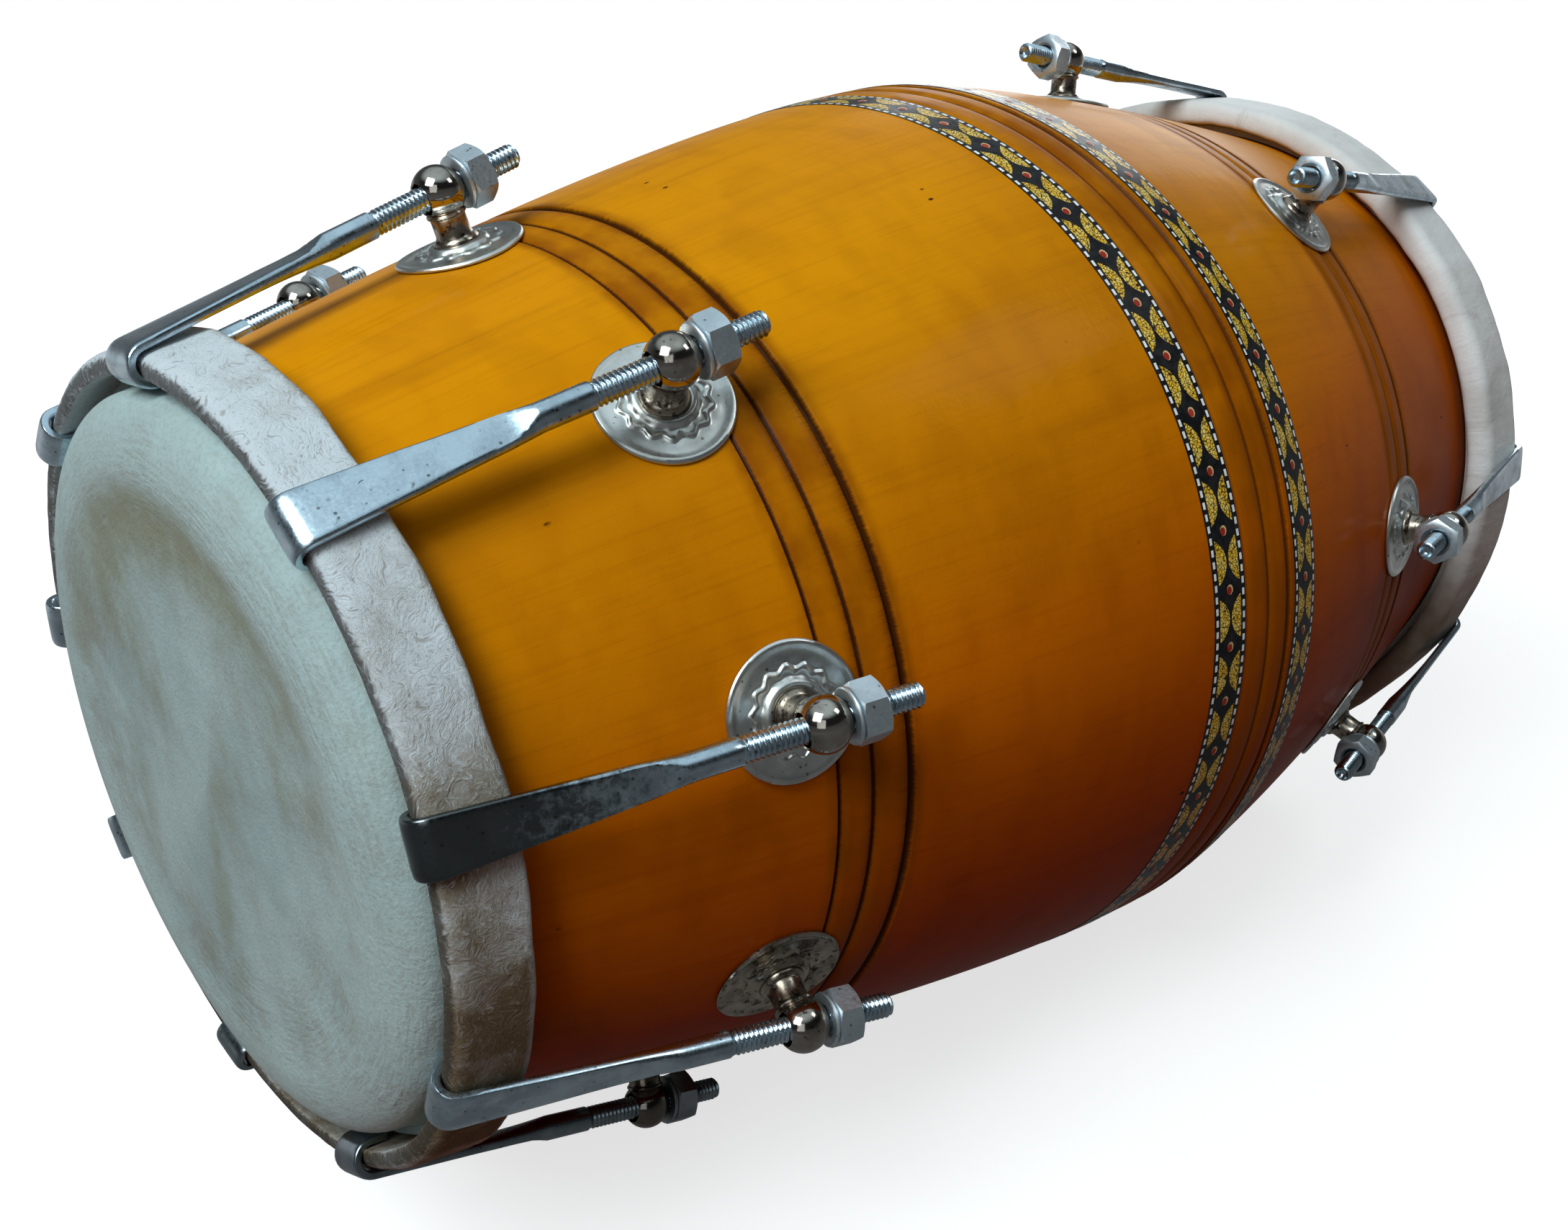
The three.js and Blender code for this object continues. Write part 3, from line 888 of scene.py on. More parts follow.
@dataclass(frozen=True)
class Leather(Finish):
    """White leather of the large hoop, creased where it is drawn round the roll."""

    white: Colour = (0.78, 0.77, 0.75)
    grey: Colour = (0.56, 0.54, 0.51)
    brown: Colour = (0.20, 0.14, 0.09)
    name: str = "bass_hoop_leather"

    def mix(self, nodes: Nodes) -> None:
        """Builds the creases, the grain, and the grey and brown clouds that grow darker towards the
        bottom.
        """
        place = nodes.place()
        clouds = nodes.noise(place, 24, 4, 0.6)
        creases = nodes.figure(place, 55, 15, 4, 0.65)
        low = nodes.spread(nodes.parts(place)[2], 0.04, -0.09)
        tone = nodes.total(nodes.product(low, 0.42), nodes.product(clouds, 0.8))
        colour = nodes.ramp(tone, (0.36, self.white), (0.58, self.grey), (0.84, self.brown))
        colour = nodes.mix(nodes.spread(creases, 0.42, 0.28, 0, 0.2), colour, self.brown)
        normal = nodes.bumps(
            (creases, 0.0012, 0.5), (clouds, 0.001, 0.4), (nodes.cells(place, 900.0), 0.00012, 0.4)
        )
        nodes.set(Base_Color=colour, Roughness=0.66, Normal=normal)
        nodes.set(Sheen_Weight=0.1, Sheen_Roughness=0.5)


@dataclass(frozen=True)
class Plate(Finish):
    """Plated metal with a cloudy polish, dark specks, tarnished patches and painted shade low down.
    """

    metal: Colour = (0.56, 0.68, 0.76)
    dull: Colour = (0.38, 0.47, 0.53)
    tarnish_and_shade: Colour = (0.045, 0.04, 0.035)
    smooth: float = 0.14
    rough: float = 0.34
    speck: float = 0.30
    tarnish_share: float = 0.5
    name: str = "zinc_plate"
    stained: float = 0.0

    def mix(self, nodes: Nodes) -> None:
        """Builds the clouds, the specks, the pits and scratches, and the painted shade low down."""
        place = nodes.place()
        x, _, z = nodes.parts(place)
        clouds = nodes.noise(place, 130, 4, 0.6)
        fine = nodes.noise(place, 1300, 3, 0.6)
        patches = nodes.noise(place, 420, 4, 0.7)
        pits = nodes.spread(nodes.cells(place, 420.0), 0.10, 0.20, 1, 0)
        pits = nodes.product(pits, nodes.spread(clouds, 0.46, 0.56))
        swirl = nodes.swirled(place, 240.0, 0.008)
        streaks = nodes.noise(nodes.vector("MULTIPLY", swirl, (420, 1500, 1500)), 1.0, 1, 0.5)
        scratches = nodes.spread(streaks, 0.70, 0.76)
        scratches = nodes.product(scratches, nodes.spread(patches, 0.50, 0.58))
        marks = nodes.math("MAXIMUM", pits, scratches)
        rest = 1 - self.speck
        specks = nodes.spread(patches, rest - 0.05, rest + 0.03, 0, self.tarnish_share)
        colour = nodes.coats(
            nodes.mix(nodes.spread(clouds, 0.36, 0.66), self.metal, self.dull),
            (nodes.math("MAXIMUM", specks, nodes.product(marks, 0.75)), self.tarnish_and_shade),
            # Painted shade: the metal is darkened towards the bottom of the drum, where shade
            # falls.
            (nodes.spread(z, -0.055, -0.10, 0, 0.62), self.tarnish_and_shade),
        )
        if self.stained:
            reach = nodes.total(x, nodes.spread(patches, 0.3, 0.7, -0.012, 0.012))
            stain = nodes.spread(reach, 0.052, 0.020, 0, self.stained)
            colour = nodes.mix(stain, colour, self.tarnish_and_shade)
        shine = nodes.total(nodes.product(clouds, 0.6), nodes.product(fine, 0.4))
        normal = nodes.bumps((clouds, 0.0001, 0.35), (marks, 0.0001, -0.5), (fine, 0.00002, 0.5))
        nodes.set(Base_Color=colour, Metallic=1.0, Normal=normal)
        nodes.set(Roughness=nodes.spread(shine, 0.3, 0.7, self.smooth, self.rough))


@dataclass(frozen=True)
class Ink(Finish):
    """Glossy print of one colour on the tape, slightly uneven."""

    colour: Colour = (0.009, 0.009, 0.010)
    faded: Colour = (0.022, 0.022, 0.024)
    gloss: float = 0.24
    name: str = "tape_black"

    def mix(self, nodes: Nodes) -> None:
        """Builds the fading and the film's waves."""
        place = nodes.place()
        worn = nodes.noise(place, 260, 4, 0.65)
        nodes.set(Base_Color=nodes.mix(nodes.spread(worn, 0.42, 0.72), self.colour, self.faded))
        nodes.set(Roughness=nodes.spread(worn, 0.3, 0.7, self.gloss, self.gloss + 0.12))
        nodes.set(Normal=nodes.bumps((nodes.noise(place, 170, 2), 0.0002, 0.4)))
        nodes.set(Specular_IOR_Level=0.12)


@dataclass(frozen=True)
class CrackledGold(Finish):
    """Gold print broken by a net of dark red-brown cracks."""

    gold: Colour = (0.86, 0.52, 0.035)
    pale: Colour = (0.90, 0.68, 0.16)
    crack: Colour = (0.035, 0.009, 0.004)
    name: str = "tape_gold"

    def mix(self, nodes: Nodes) -> None:
        """Builds the cells and their cracks."""
        place = nodes.place()
        cells = nodes.cells(nodes.swirled(place, 500.0, 0.0012), 1050.0, "DISTANCE_TO_EDGE")
        cracks = nodes.spread(cells, 0.05, 0.12, 1, 0)
        tone = nodes.noise(place, 400, 2, 0.5)
        colour = nodes.mix(nodes.spread(tone, 0.4, 0.65), self.gold, self.pale)
        nodes.set(Base_Color=nodes.mix(cracks, colour, self.crack), Roughness=0.3)
        nodes.set(Normal=nodes.bumps((tone, 0.0001, 0.3)), Specular_IOR_Level=0.15)


@dataclass(frozen=True)
class Paste(Finish):
    """Dark tuning paste, dry and crumbly."""

    dark: Colour = (0.02, 0.017, 0.014)
    dusty: Colour = (0.07, 0.06, 0.05)
    name: str = "black_paste"

    def mix(self, nodes: Nodes) -> None:
        """Builds the crumbs and the dust."""
        place = nodes.place()
        crumbs = nodes.noise(place, 420, 5, 0.7)
        dust = nodes.spread(nodes.noise(place, 40, 3, 0.5), 0.4, 0.7)
        nodes.set(Base_Color=nodes.mix(dust, self.dark, self.dusty), Roughness=0.9)
        nodes.set(Normal=nodes.bumps((crumbs, 0.0005, 0.8)))


ZINC = Plate()
STAINED_ZINC = Plate(name="stained_zinc_plate", stained=0.85)
NUT_ZINC = Plate(
    (0.72, 0.80, 0.85), (0.54, 0.61, 0.65), smooth=0.34, rough=0.52, name="nut_zinc_plate"
)
NICKEL = Plate(
    (0.46, 0.42, 0.37), (0.30, 0.26, 0.22), (0.03, 0.022, 0.016), 0.05, 0.16, 0.34, 0.75,
    "polished_nickel",
)
STAMPED_NICKEL = Plate(
    (0.70, 0.71, 0.68), (0.54, 0.55, 0.52), (0.10, 0.08, 0.06), 0.26, 0.42, 0.3, 0.45,
    "stamped_nickel",
)
TARNISHED_NICKEL = Plate(
    (0.42, 0.36, 0.29), (0.22, 0.18, 0.14), (0.02, 0.014, 0.01), 0.14, 0.34, 0.42, 0.8,
    "tarnished_nickel",
)
TAPE_INKS = {
    Layer.GROUND: Ink(),
    Layer.DASH: Ink((0.90, 0.90, 0.88), (0.74, 0.74, 0.72), 0.3, "tape_white"),
    Layer.LEAF: CrackledGold(),
    Layer.DOT: Ink((0.33, 0.022, 0.012), (0.42, 0.05, 0.03), 0.3, "tape_red"),
    Layer.CRESCENT: Ink((0.72, 0.50, 0.25), (0.6, 0.4, 0.2), 0.3, "tape_cream"),
}
HEAD_HIDES = {
    End.TREBLE: Hide(),
    End.BASS: Hide(
        (0.56, 0.53, 0.45), (0.44, 0.41, 0.34), (0.34, 0.26, 0.17), (0.36, 0.31, 0.2), 0.124,
        "bass_head_hide",
    ),
}
HOOP_HIDES = {End.TREBLE: Rawhide(), End.BASS: Leather()}


class SubAssembly:
    """Base of the sub-assemblies: it dresses their pieces and sets them on their bodies."""

    def keep(
        self,
        piece: bpy.types.Object,
        finishes: Sequence[Finish],
        slot: str,
        stands_for: Sequence[str] = (),
        body: str = "drum_body",
    ) -> None:
        """Dresses a piece, sets it on its body and reports it.

        Args:
            piece: The object.
            finishes: One finish for each of its material slots.
            slot: Not used.
            stands_for: Names of the solids that it replaces.
            body: The body that carries it.
        """
        for finish in finishes:
            piece.data.materials.append(finish.material())
        if stands_for:
            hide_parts(*stands_for)
        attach(piece, body)
        log.info("%s: %d faces on %s", piece.name, len(piece.data.polygons), body)


@dataclass
class Shell(SubAssembly):
    """The turned wooden barrel with its beads and grooves."""

    sides: int = 288
    outer_places: int = 90
    inner_places: int = 24
    groove_places: int = 13
    bead_places: int = 17
    rim_steps: int = 10
    grooves: tuple[tuple[float, float, float, float, float], ...] = (
        # place, half width, depth, feathering and strength of the stain
        (97.3, 0.9, 0.8, 1.2, 0.92),
        (106.5, 0.9, 0.8, 2.2, 0.92),
        (116.6, 1.25, 1.6, 4.5, 0.95),
        (239.0, 0.8, 0.8, 0.4, 0.55),
        (248.2, 1.1, 1.2, 0.5, 0.70),
        (328.3, 0.6, 0.5, 0.8, 0.50),
        (338.2, 0.6, 0.5, 0.4, 0.45),
        (348.3, 0.9, 1.0, 0.6, 0.80),
    )
    beads: tuple[tuple[float, float, float], ...] = (
        # start, stop, height lost at the edges
        (97.3, 106.5, 1.1),
        (106.5, 116.6, 1.3),
        (228.4, 239.0, 0.8),
        (239.0, 248.2, 1.1),
        (328.3, 338.2, 0.8),
        (338.2, 348.3, 0.9),
    )

    def depth(self, place: float) -> float:
        """How far the turned surface lies below the plain barrel at a place."""
        cut = 0.0
        for centre, half, deep, _, _ in self.grooves:
            off = abs(place - centre) / half
            if off < 1:
                cut = max(cut, deep * 0.5 * (1 + math.cos(math.pi * off)))
        for start, stop, drop in self.beads:
            if start < place < stop:
                share = 2 * (place - start) / (stop - start) - 1
                cut = max(cut, drop * share**4)
        return cut

    def outline(self) -> list[Pair]:
        """Closed outline of the wood, outside and inside."""
        rim, length = BARREL.rim_round, BARREL.length
        places = list(np.linspace(rim, length - rim, self.outer_places))
        for centre, half, _, _, _ in self.grooves:
            reach = half * 1.2
            places += list(np.linspace(centre - reach, centre + reach, self.groove_places))
        for start, stop, _ in self.beads:
            places += list(np.linspace(start, stop, self.bead_places))
        outside = [(float(x), BARREL.at(x) - self.depth(x)) for x in sorted(set(places))]
        treble = BARREL.rim_arc(End.TREBLE, 0, self.rim_steps)
        bass = [(length - d, r) for d, r in BARREL.rim_arc(End.BASS, 0, self.rim_steps)]
        hollow = np.linspace(length, 0, self.inner_places)
        inside = [(float(x), BARREL.at(x) - BARREL.wall) for x in hollow]
        return treble[:-1] + outside + bass[::-1][1:] + inside

    def build(self) -> bpy.types.Object:
        """Builds the barrel."""
        return Form().grid(lathe_x(self.outline(), self.sides), along=True).make("turned_shell", 60)

    def dress(self) -> None:
        """Builds and finishes the barrel."""
        lines = tuple((x, half, feather, dark) for x, half, _, feather, dark in self.grooves)
        self.keep(self.build(), [Lacquer(lines=lines)], "lacquered_wood", ["shell"])


@dataclass
class PrintedTape(SubAssembly):
    """A black tape glued round the belly, printed with leaves, dots and dashed edges."""

    name: str
    centre: float
    half: float
    first: float
    step: float
    lift: float = 0.14
    sunk: float = -0.05
    print_lift: float = 0.035
    drawn_half: float = 6.35
    columns: int = 360
    seam: float = 130.0
    dashes: int = 5
    dash_share: float = 0.58
    dash_sides: Pair = (4.95, 5.85)
    leaf_half: float = 6.25
    leaf_chord: float = 4.15
    leaf_depth: float = 3.75
    dot_radii: Pair = (1.22, 1.42)

    def point(self, across: float, angle: float, lift: float) -> tuple[float, float, float]:
        """A point on the barrel.

        Args:
            across: Millimetres from the tape's middle towards the bass.
            angle: Angle from the top, towards -Y, in degrees.
            lift: Height above the wood.

        Returns:
            The point in the drum's millimetres.
        """
        place = self.centre + across
        radius = BARREL.at(place) + lift
        turn = math.radians(angle)
        return place, -radius * math.sin(turn), radius * math.cos(turn)

    def band(self) -> Form:
        """The tape itself, a thin closed strip."""
        across = [float(a) for a in np.linspace(-self.half, self.half, 9)]
        sheet = [(a, self.lift) for a in across] + [(a, self.sunk) for a in across[::-1]]
        outline = [(self.centre + a, BARREL.at(self.centre + a) + lift) for a, lift in sheet]
        return Form().grid(lathe_x(outline, self.columns), along=True, mark=Layer.GROUND.value)

    def patch(
        self, form: Form, edges: Sequence[Array], angle: float, lift: float, layer: Layer
    ) -> None:
        """Adds ink between two edges of (across, millimetres along) points.

        Args:
            form: The form that gets it.
            edges: Points of the two edges, as many in each.
            angle: Angle in degrees that the millimetres along are counted from.
            lift: Height above the tape.
            layer: The colour.
        """
        bend = math.degrees(1 / BARREL.at(self.centre))
        rows = [
            [self.point(across, angle + along * bend, self.lift + lift) for across, along in edge]
            for edge in edges
        ]
        form.grid(np.array(rows), around=False, mark=layer.value)

    def motif(self, form: Form, angle: float, half_length: float) -> None:
        """Adds one dot, the two leaves after it and the dashes beside them.

        Args:
            form: The form that gets them.
            angle: Angle of the dot in degrees.
            half_length: Half of the motif's length along the tape.
        """
        scale = self.half / self.drawn_half
        turn = np.linspace(0, math.pi, 13)
        wide, long = self.dot_radii
        for layer, shrink, off, lift in ((Layer.CRESCENT, 1.0, 0.0, 1), (Layer.DOT, 0.8, -0.28, 2)):
            across = -np.cos(turn) * wide * shrink * scale + off
            reach = np.sin(turn) * long * shrink
            edges = [np.stack([across, side * reach - off * 0.6], -1) for side in (-1, 1)]
            self.patch(form, edges, angle, self.print_lift * lift, layer)
        along = np.linspace(-self.leaf_half, self.leaf_half, 17)
        bulge = 1 - (along / self.leaf_half) ** 2
        pitch = 2 * half_length / self.dashes
        for side in (-1, 1):
            chord = side * (self.leaf_chord + 0.12 * bulge) * scale
            inner = side * (self.leaf_chord - self.leaf_depth * bulge**0.85) * scale
            edges = [np.stack([edge, along + half_length], -1) for edge in (chord, inner)]
            self.patch(form, edges, angle, self.print_lift, Layer.LEAF)
            for dash in range(self.dashes):
                start = (dash + 0.25) * pitch
                span = np.linspace(start, start + pitch * self.dash_share, 3)
                sides = (np.full(3, side * a * scale) for a in self.dash_sides)
                edges = [np.stack([across, span], -1) for across in sides]
                self.patch(form, edges, angle, self.print_lift, Layer.DASH)

    def build(self) -> bpy.types.Object:
        """Builds the tape with its print, which meets at a seam under the drum."""
        form = self.band()
        half_length = math.radians(self.step) * BARREL.at(self.centre) / 2
        start = self.first - self.step * math.floor((self.first + self.seam) / self.step)
        for number in range(int(360 / self.step)):
            self.motif(form, start + number * self.step, half_length)
        return form.make(self.name, 60)

    def dress(self) -> None:
        """Builds and prints the tape."""
        self.keep(self.build(), [TAPE_INKS[layer] for layer in Layer], "lacquered_wood")


@dataclass
class DrumHead(SubAssembly):
    """A skin drawn over the rim, with its edge lapped round the flesh ring."""

    fit: EndFit
    dish: float
    dish_share: float = 0.2
    sides: int = 300
    flat_places: int = 50
    rim_steps: int = 18
    ring_rounds: tuple[float, ...] = (0.2, 1.0, 1.6, 0.6)

    def outline(self) -> list[Pair]:
        """Closed outline of the skin, as (distance from the rim, radius)."""
        fit = self.fit
        end, gap, skin = fit.end, fit.skin_gap, fit.skin + fit.skin_gap
        ring_end = fit.ring_start + fit.ring_length
        crest = BARREL.radius(end, BARREL.rim_round) - BARREL.rim_reach(end)
        flat = []
        for share in np.linspace(0, 1, self.flat_places)[1:]:
            way = min(1.0, (1 - float(share)) / self.dish_share)
            flat.append((-skin + self.dish * way * way * (3 - 2 * way), crest * float(share)))
        outside = self.side(BARREL.rim_round + 0.3, fit.ring_start - 0.9, skin)
        corners = [
            (fit.ring_start, BARREL.radius(end, fit.ring_start) + skin + 0.5),
            (fit.ring_start, fit.ring_radius),
            (ring_end, fit.ring_radius),
            (ring_end, BARREL.radius(end, ring_end) + gap),
        ]
        lap = rounded(corners, self.ring_rounds, 5)
        inside = self.side(ring_end, BARREL.rim_round + 0.3, gap)
        outer, inner = (BARREL.rim_arc(end, offset, self.rim_steps) for offset in (skin, gap))
        return flat + outer[1:] + outside + lap + inside[1:] + inner[::-1]

    def side(self, start: float, stop: float, offset: float) -> list[Pair]:
        """Points along the side of the wood at an offset from it."""
        places = (float(x) for x in np.linspace(start, stop, 6))
        return [(x, BARREL.radius(self.fit.end, x) + offset) for x in places]

    def build(self) -> bpy.types.Object:
        """Builds the skin."""
        fit = self.fit
        front = (-fit.skin - fit.skin_gap + self.dish, 0, 0)
        back = (-fit.skin_gap + self.dish, 0, 0)
        form = Form().capped(lathe_x(self.outline(), self.sides), front, back)
        return form.moved(fit.matrix()).make(f"{fit.end.value}_drum_head", 50)

    def dress(self) -> None:
        """Builds the skin and gives it its hide."""
        end = self.fit.end
        self.keep(self.build(), [HEAD_HIDES[end]], f"{end.value}_hide", [f"{end.value}_skin"])


@dataclass
class TuningPaste(SubAssembly):
    """The disc of paste on the inner side of the bass skin."""

    radius: float = 58.0
    thickness: float = 3.4
    edge: float = 0.25
    gap: float = 0.05

    def dress(self) -> None:
        """Builds the paste, thick in the middle and thin at its edge."""
        outline = []
        for share in np.linspace(0, 1, 14)[1:]:
            height = self.thickness * (1 - share**2) + self.edge
            outline.append((height, self.radius * float(share)))
        outline.append((self.gap, self.radius * 0.995))
        rows = roughened(lathe_x(outline, 96), 0.5, 6, (1, 1, 1), 3)
        form = Form().capped(rows, (self.thickness + self.edge, 0, 0), (self.gap, 0, 0))
        piece = form.moved(BASS_FIT.matrix()).make("bass_tuning_paste")
        self.keep(piece, [Paste()], "tuning_paste", ["bass_paste"])


@dataclass
class CounterHoop(SubAssembly):
    """A hoop wound with hide, which the hooks draw over the flesh ring."""

    fit: EndFit
    sides: int = 420
    spacing: float = 0.8
    round_steps: int = 8

    def outline(self) -> list[Pair]:
        """Closed outline of the hoop in its own slanted frame, from its round front."""
        fit = self.fit
        half, run = fit.hoop_thickness / 2, fit.hoop_width - fit.hoop_thickness
        rounds = (0.8, 4.3, 1.6, 1.2) if fit.end is End.TREBLE else (3.6, 5.2, 5.2, 3.6)
        corners = [(-half, -half), (-half, half), (run + half, half), (run + half, -half)]
        return spaced(rounded(corners, rounds, self.round_steps), self.spacing)

    def waviness(self, back: Array) -> Array:
        """How far the hide's rear edge wanders along the axis, and less the nearer the front.

        Args:
            back: Distances behind the hoop's round front, as (row, column).

        Returns:
            The moves along X in millimetres.
        """
        turn = round_turn(self.sides)
        waves = ((0.30, 5, 1), (0.26, 13, 2), (0.20, 29, 0.5))
        wave = sum(height * np.sin(count * turn + start) for height, count, start in waves)
        run = self.fit.hoop_width - self.fit.hoop_thickness
        return np.clip(back / run, 0, 1) ** 2 * wave

    def build(self) -> bpy.types.Object:
        """Builds the hoop, with the unevenness of hide wound by hand."""
        fit = self.fit
        x0, r0 = fit.nose
        cos, sin = math.cos(fit.hoop_flare), math.sin(fit.hoop_flare)
        outline = [(x0 + x * cos - y * sin, r0 + x * sin + y * cos) for x, y in self.outline()]
        rows = lathe_x(outline, self.sides)
        if fit.end is End.TREBLE:
            rows = roughened(rows, 0.35, 14, (1.2, 1, 1), 11)
            rows = roughened(rows, 0.18, 3, (1, 1, 1), 5)
            rows[..., 0] += self.waviness(rows[..., 0] - x0)
        else:
            rows = roughened(rows, 0.6, 17, (1.6, 1, 1), 23)
            rows = roughened(rows, 0.25, 5, (3, 1, 1), 7)
        form = Form().grid(rows, along=True).moved(fit.matrix())
        return form.make(f"{fit.end.value}_counter_hoop", 70)

    def dress(self) -> None:
        """Builds the hoop and gives it its hide."""
        end, name = self.fit.end, self.fit.end.value
        slot, body = f"{name}_hoop_hide", f"{name}_tension_set"
        self.keep(self.build(), [HOOP_HIDES[end]], slot, [f"{name}_hoop"], body)


@dataclass
class Lug(SubAssembly):
    """One eye post with its rosette, the hooked rod through it and the nut that draws the rod."""

    fit: EndFit
    number: int
    ball_radius: float = 6.6
    eye_radius: float = 3.9
    rod_radius: float = 3.3
    crest: float = 3.1
    root: float = 2.54
    pitch: float = 1.27
    rings_per_pitch: int = 6
    hollow_tip: tuple[Pair, ...] = ((1.3, 0.9), (0.9, 1.5), (0.0, 2.0))
    thread_end: float = 19.5
    plain_end: float = 35.5
    blade_half: float = 6.5
    strap_power: float = 0.38
    tip: float = 10.5
    nut_bore: float = 3.8
    nut_flats: float = 13.0
    nut_height: float = 7.0
    washer: float = 1.0
    washer_gap: float = 0.35
    columns: int = 32
    nut_columns: int = 96
    ball_columns: int = 48
    rosette_columns: int = 182
    ridge: float = 10.4
    ridge_waves: int = 14
    stained_hook: tuple[End, int] = (End.TREBLE, 3)
    tarnished_rosette: tuple[End, int] = (End.TREBLE, 4)

    @property
    def seat(self) -> float:
        """Distance along the rod from the ball's centre to the washer."""
        return math.sqrt(self.ball_radius**2 - self.eye_radius**2) + self.washer_gap

    @property
    def normal(self) -> Array:
        """Direction square to the rod and out from the drum, as (x, z)."""
        return np.array([-math.sin(self.fit.rod_angle), math.cos(self.fit.rod_angle)])

    def name(self, kind: str) -> str:
        """Name of one of the lug's pieces or nodes."""
        return f"{self.fit.end.value}_{kind}_{self.number}"

    def along(self, distance: float) -> Array:
        """Point on the rod's axis, as (x, z), at a distance from the ball towards the hook."""
        angle = self.fit.rod_angle
        return np.array(self.fit.ball) - distance * np.array([math.cos(angle), math.sin(angle)])

    def section(self, centre: Array, normal: Array, across: Array, out: Array) -> Array:
        """Ring of points across Y and a normal in the XZ plane."""
        return np.stack([centre[0] + out * normal[0], across, centre[1] + out * normal[1]], -1)

    def round_section(self, distance: float, radius: Array | float) -> Array:
        """Round ring of points about the rod at a distance from the ball towards the hook."""
        turn = round_turn(self.columns)
        across, out = radius * np.cos(turn), radius * np.sin(turn)
        return self.section(self.along(distance), self.normal, across, out)

    def strap(self, half: float, top: float, under: float, power: float) -> tuple[Array, Array]:
        """Shape of a section from a round rod to a flat strap.

        Args:
            half: Half of the width.
            top: Height of the flat top above the axis.
            under: Depth of the underside below the axis.
            power: 1 for an ellipse, and less for squarer corners.

        Returns:
            Points across and points outwards.
        """
        turn = round_turn(self.columns)
        across = half * np.sign(np.cos(turn)) * np.abs(np.cos(turn)) ** power
        out = np.sign(np.sin(turn)) * np.abs(np.sin(turn)) ** power
        deep = max(top, under)
        return across, np.where(out > 0, np.minimum(out * deep, top), out * under)

    def threaded(self) -> list[Array]:
        """Rings of the thread, from the hollowed tip to where the rod is plain."""
        turn = round_turn(self.columns)
        start = -(self.seat + self.washer + self.nut_height + self.tip)
        rings = [self.round_section(start + deep, radius) for deep, radius in self.hollow_tip]
        length = self.thread_end - start
        for step in range(int(length / self.pitch * self.rings_per_pitch) + 1):
            place = step * self.pitch / self.rings_per_pitch
            phase = (place / self.pitch + turn / (2 * math.pi)) % 1
            height = np.clip((1 - np.abs(2 * phase - 1)) * 1.35 - 0.12, 0, 1)
            fade = min(1.0, (place + 0.15) / 1.2, (length - place) / 1.5 + 0.45)
            base = self.root - (0.35 if place < 0.4 else 0.0)
            radius = base + (self.crest - self.root) * height * fade
            rings.append(self.round_section(start + place, radius))
        return rings

    def blade(self, stop: float) -> list[Array]:
        """Rings where the round rod is forged out to the flat, widening blade.

        Args:
            stop: Distance from the ball to where the blade begins to bend.

        Returns:
            The rings, towards the hook.
        """
        rings = []
        rod, flat, start = self.rod_radius, self.fit.blade / 2, self.plain_end - 3.0
        for share in np.linspace(0, 1, 34) ** 1.5:
            cut = min(1.0, share / 0.16)
            half = rod + (self.blade_half - rod) * (0.10 * cut + 0.90 * share)
            top = rod + (flat + 0.35 * (1 - share) - rod) * math.sin(cut * math.pi / 2)
            under = flat + (rod - flat) * (1 - share) ** 3.2
            power = 1 - (1 - self.strap_power) * min(1.0, share / 0.55)
            place = self.along(start + (stop - self.plain_end + 3.0) * share)
            rings.append(self.section(place, self.normal, *self.strap(half, top, under, power)))
        return rings

    def hook(self) -> Form:
        """The rod, from its threaded tip to the flat hook round the hoop."""
        fit = self.fit
        rings = self.threaded()
        for place in (self.thread_end + 0.7, self.thread_end + 3, self.plain_end - 6):
            rings.append(self.round_section(place, self.rod_radius))
        nose = np.array(fit.nose)
        reach = np.hypot(*(np.array(fit.ball) - nose))
        rings += self.blade(math.sqrt(reach**2 - fit.bend_radius**2))
        across, out = self.strap(self.blade_half, fit.blade / 2, fit.blade / 2, self.strap_power)
        for share in np.arange(1, 15) / 14:
            bend = math.pi / 2 + fit.rod_angle + share * (math.pi - fit.rod_angle + fit.hoop_flare)
            facing = np.array([math.cos(bend), math.sin(bend)])
            rings.append(self.section(nose + facing * fit.bend_radius, facing, across, out))
        run = np.array([math.cos(fit.hoop_flare), math.sin(fit.hoop_flare)])
        end = nose + facing * fit.bend_radius
        for left, shrink in ((fit.tongue * 0.5, 1.0), (0.5, 1.0), (0.1, 0.93), (0.0, 0.8)):
            place = end + run * (fit.tongue - left)
            rings.append(self.section(place, facing, across * shrink, out * shrink))
        return Form().capped(np.array(rings))

    def hexagon(self, flats: float, low: float, high: float, bore: float, chamfer: float) -> Form:
        """A chamfered hexagon nut about Z.

        Args:
            flats: Distance between opposite flats.
            low: Height of its lower face.
            high: Height of its upper face.
            bore: Radius of its hole.
            chamfer: Radius where the chamfers start, as a share of half the flats.

        Returns:
            The nut's form.
        """
        turn = round_turn(self.nut_columns)
        corner = (turn + math.pi / 6) % (math.pi / 3) - math.pi / 6
        side = flats / 2 / np.cos(corner)
        start = flats / 2 * chamfer
        drop = np.maximum(side - start, 0) * math.tan(math.radians(30))
        face, mouth = np.minimum(side, start), bore + 0.75
        levels = [
            (bore, low + 0.7), (mouth, low), (face, low), (side, low + drop),
            (side, high - drop), (face, high), (mouth, high), (bore, high - 0.7),
        ]
        return Form().grid(np.array([ring(r, z, turn) for r, z in levels]), along=True)

    def nut(self) -> Form:
        """The nut on its thin washer, about Z, with the washer's face at zero."""
        bore, face = self.nut_bore, self.washer
        rolled = [(6.3, 0.0), (6.6, 0.2), (6.7, 0.5), (6.6, 0.8), (6.3, face)]
        washer = lathe_z([(bore, 0.12), *rolled, (bore, face)], 64)
        nut = self.hexagon(self.nut_flats, face, face + self.nut_height, bore, 0.93)
        return Form().grid(washer, along=True).join(nut)

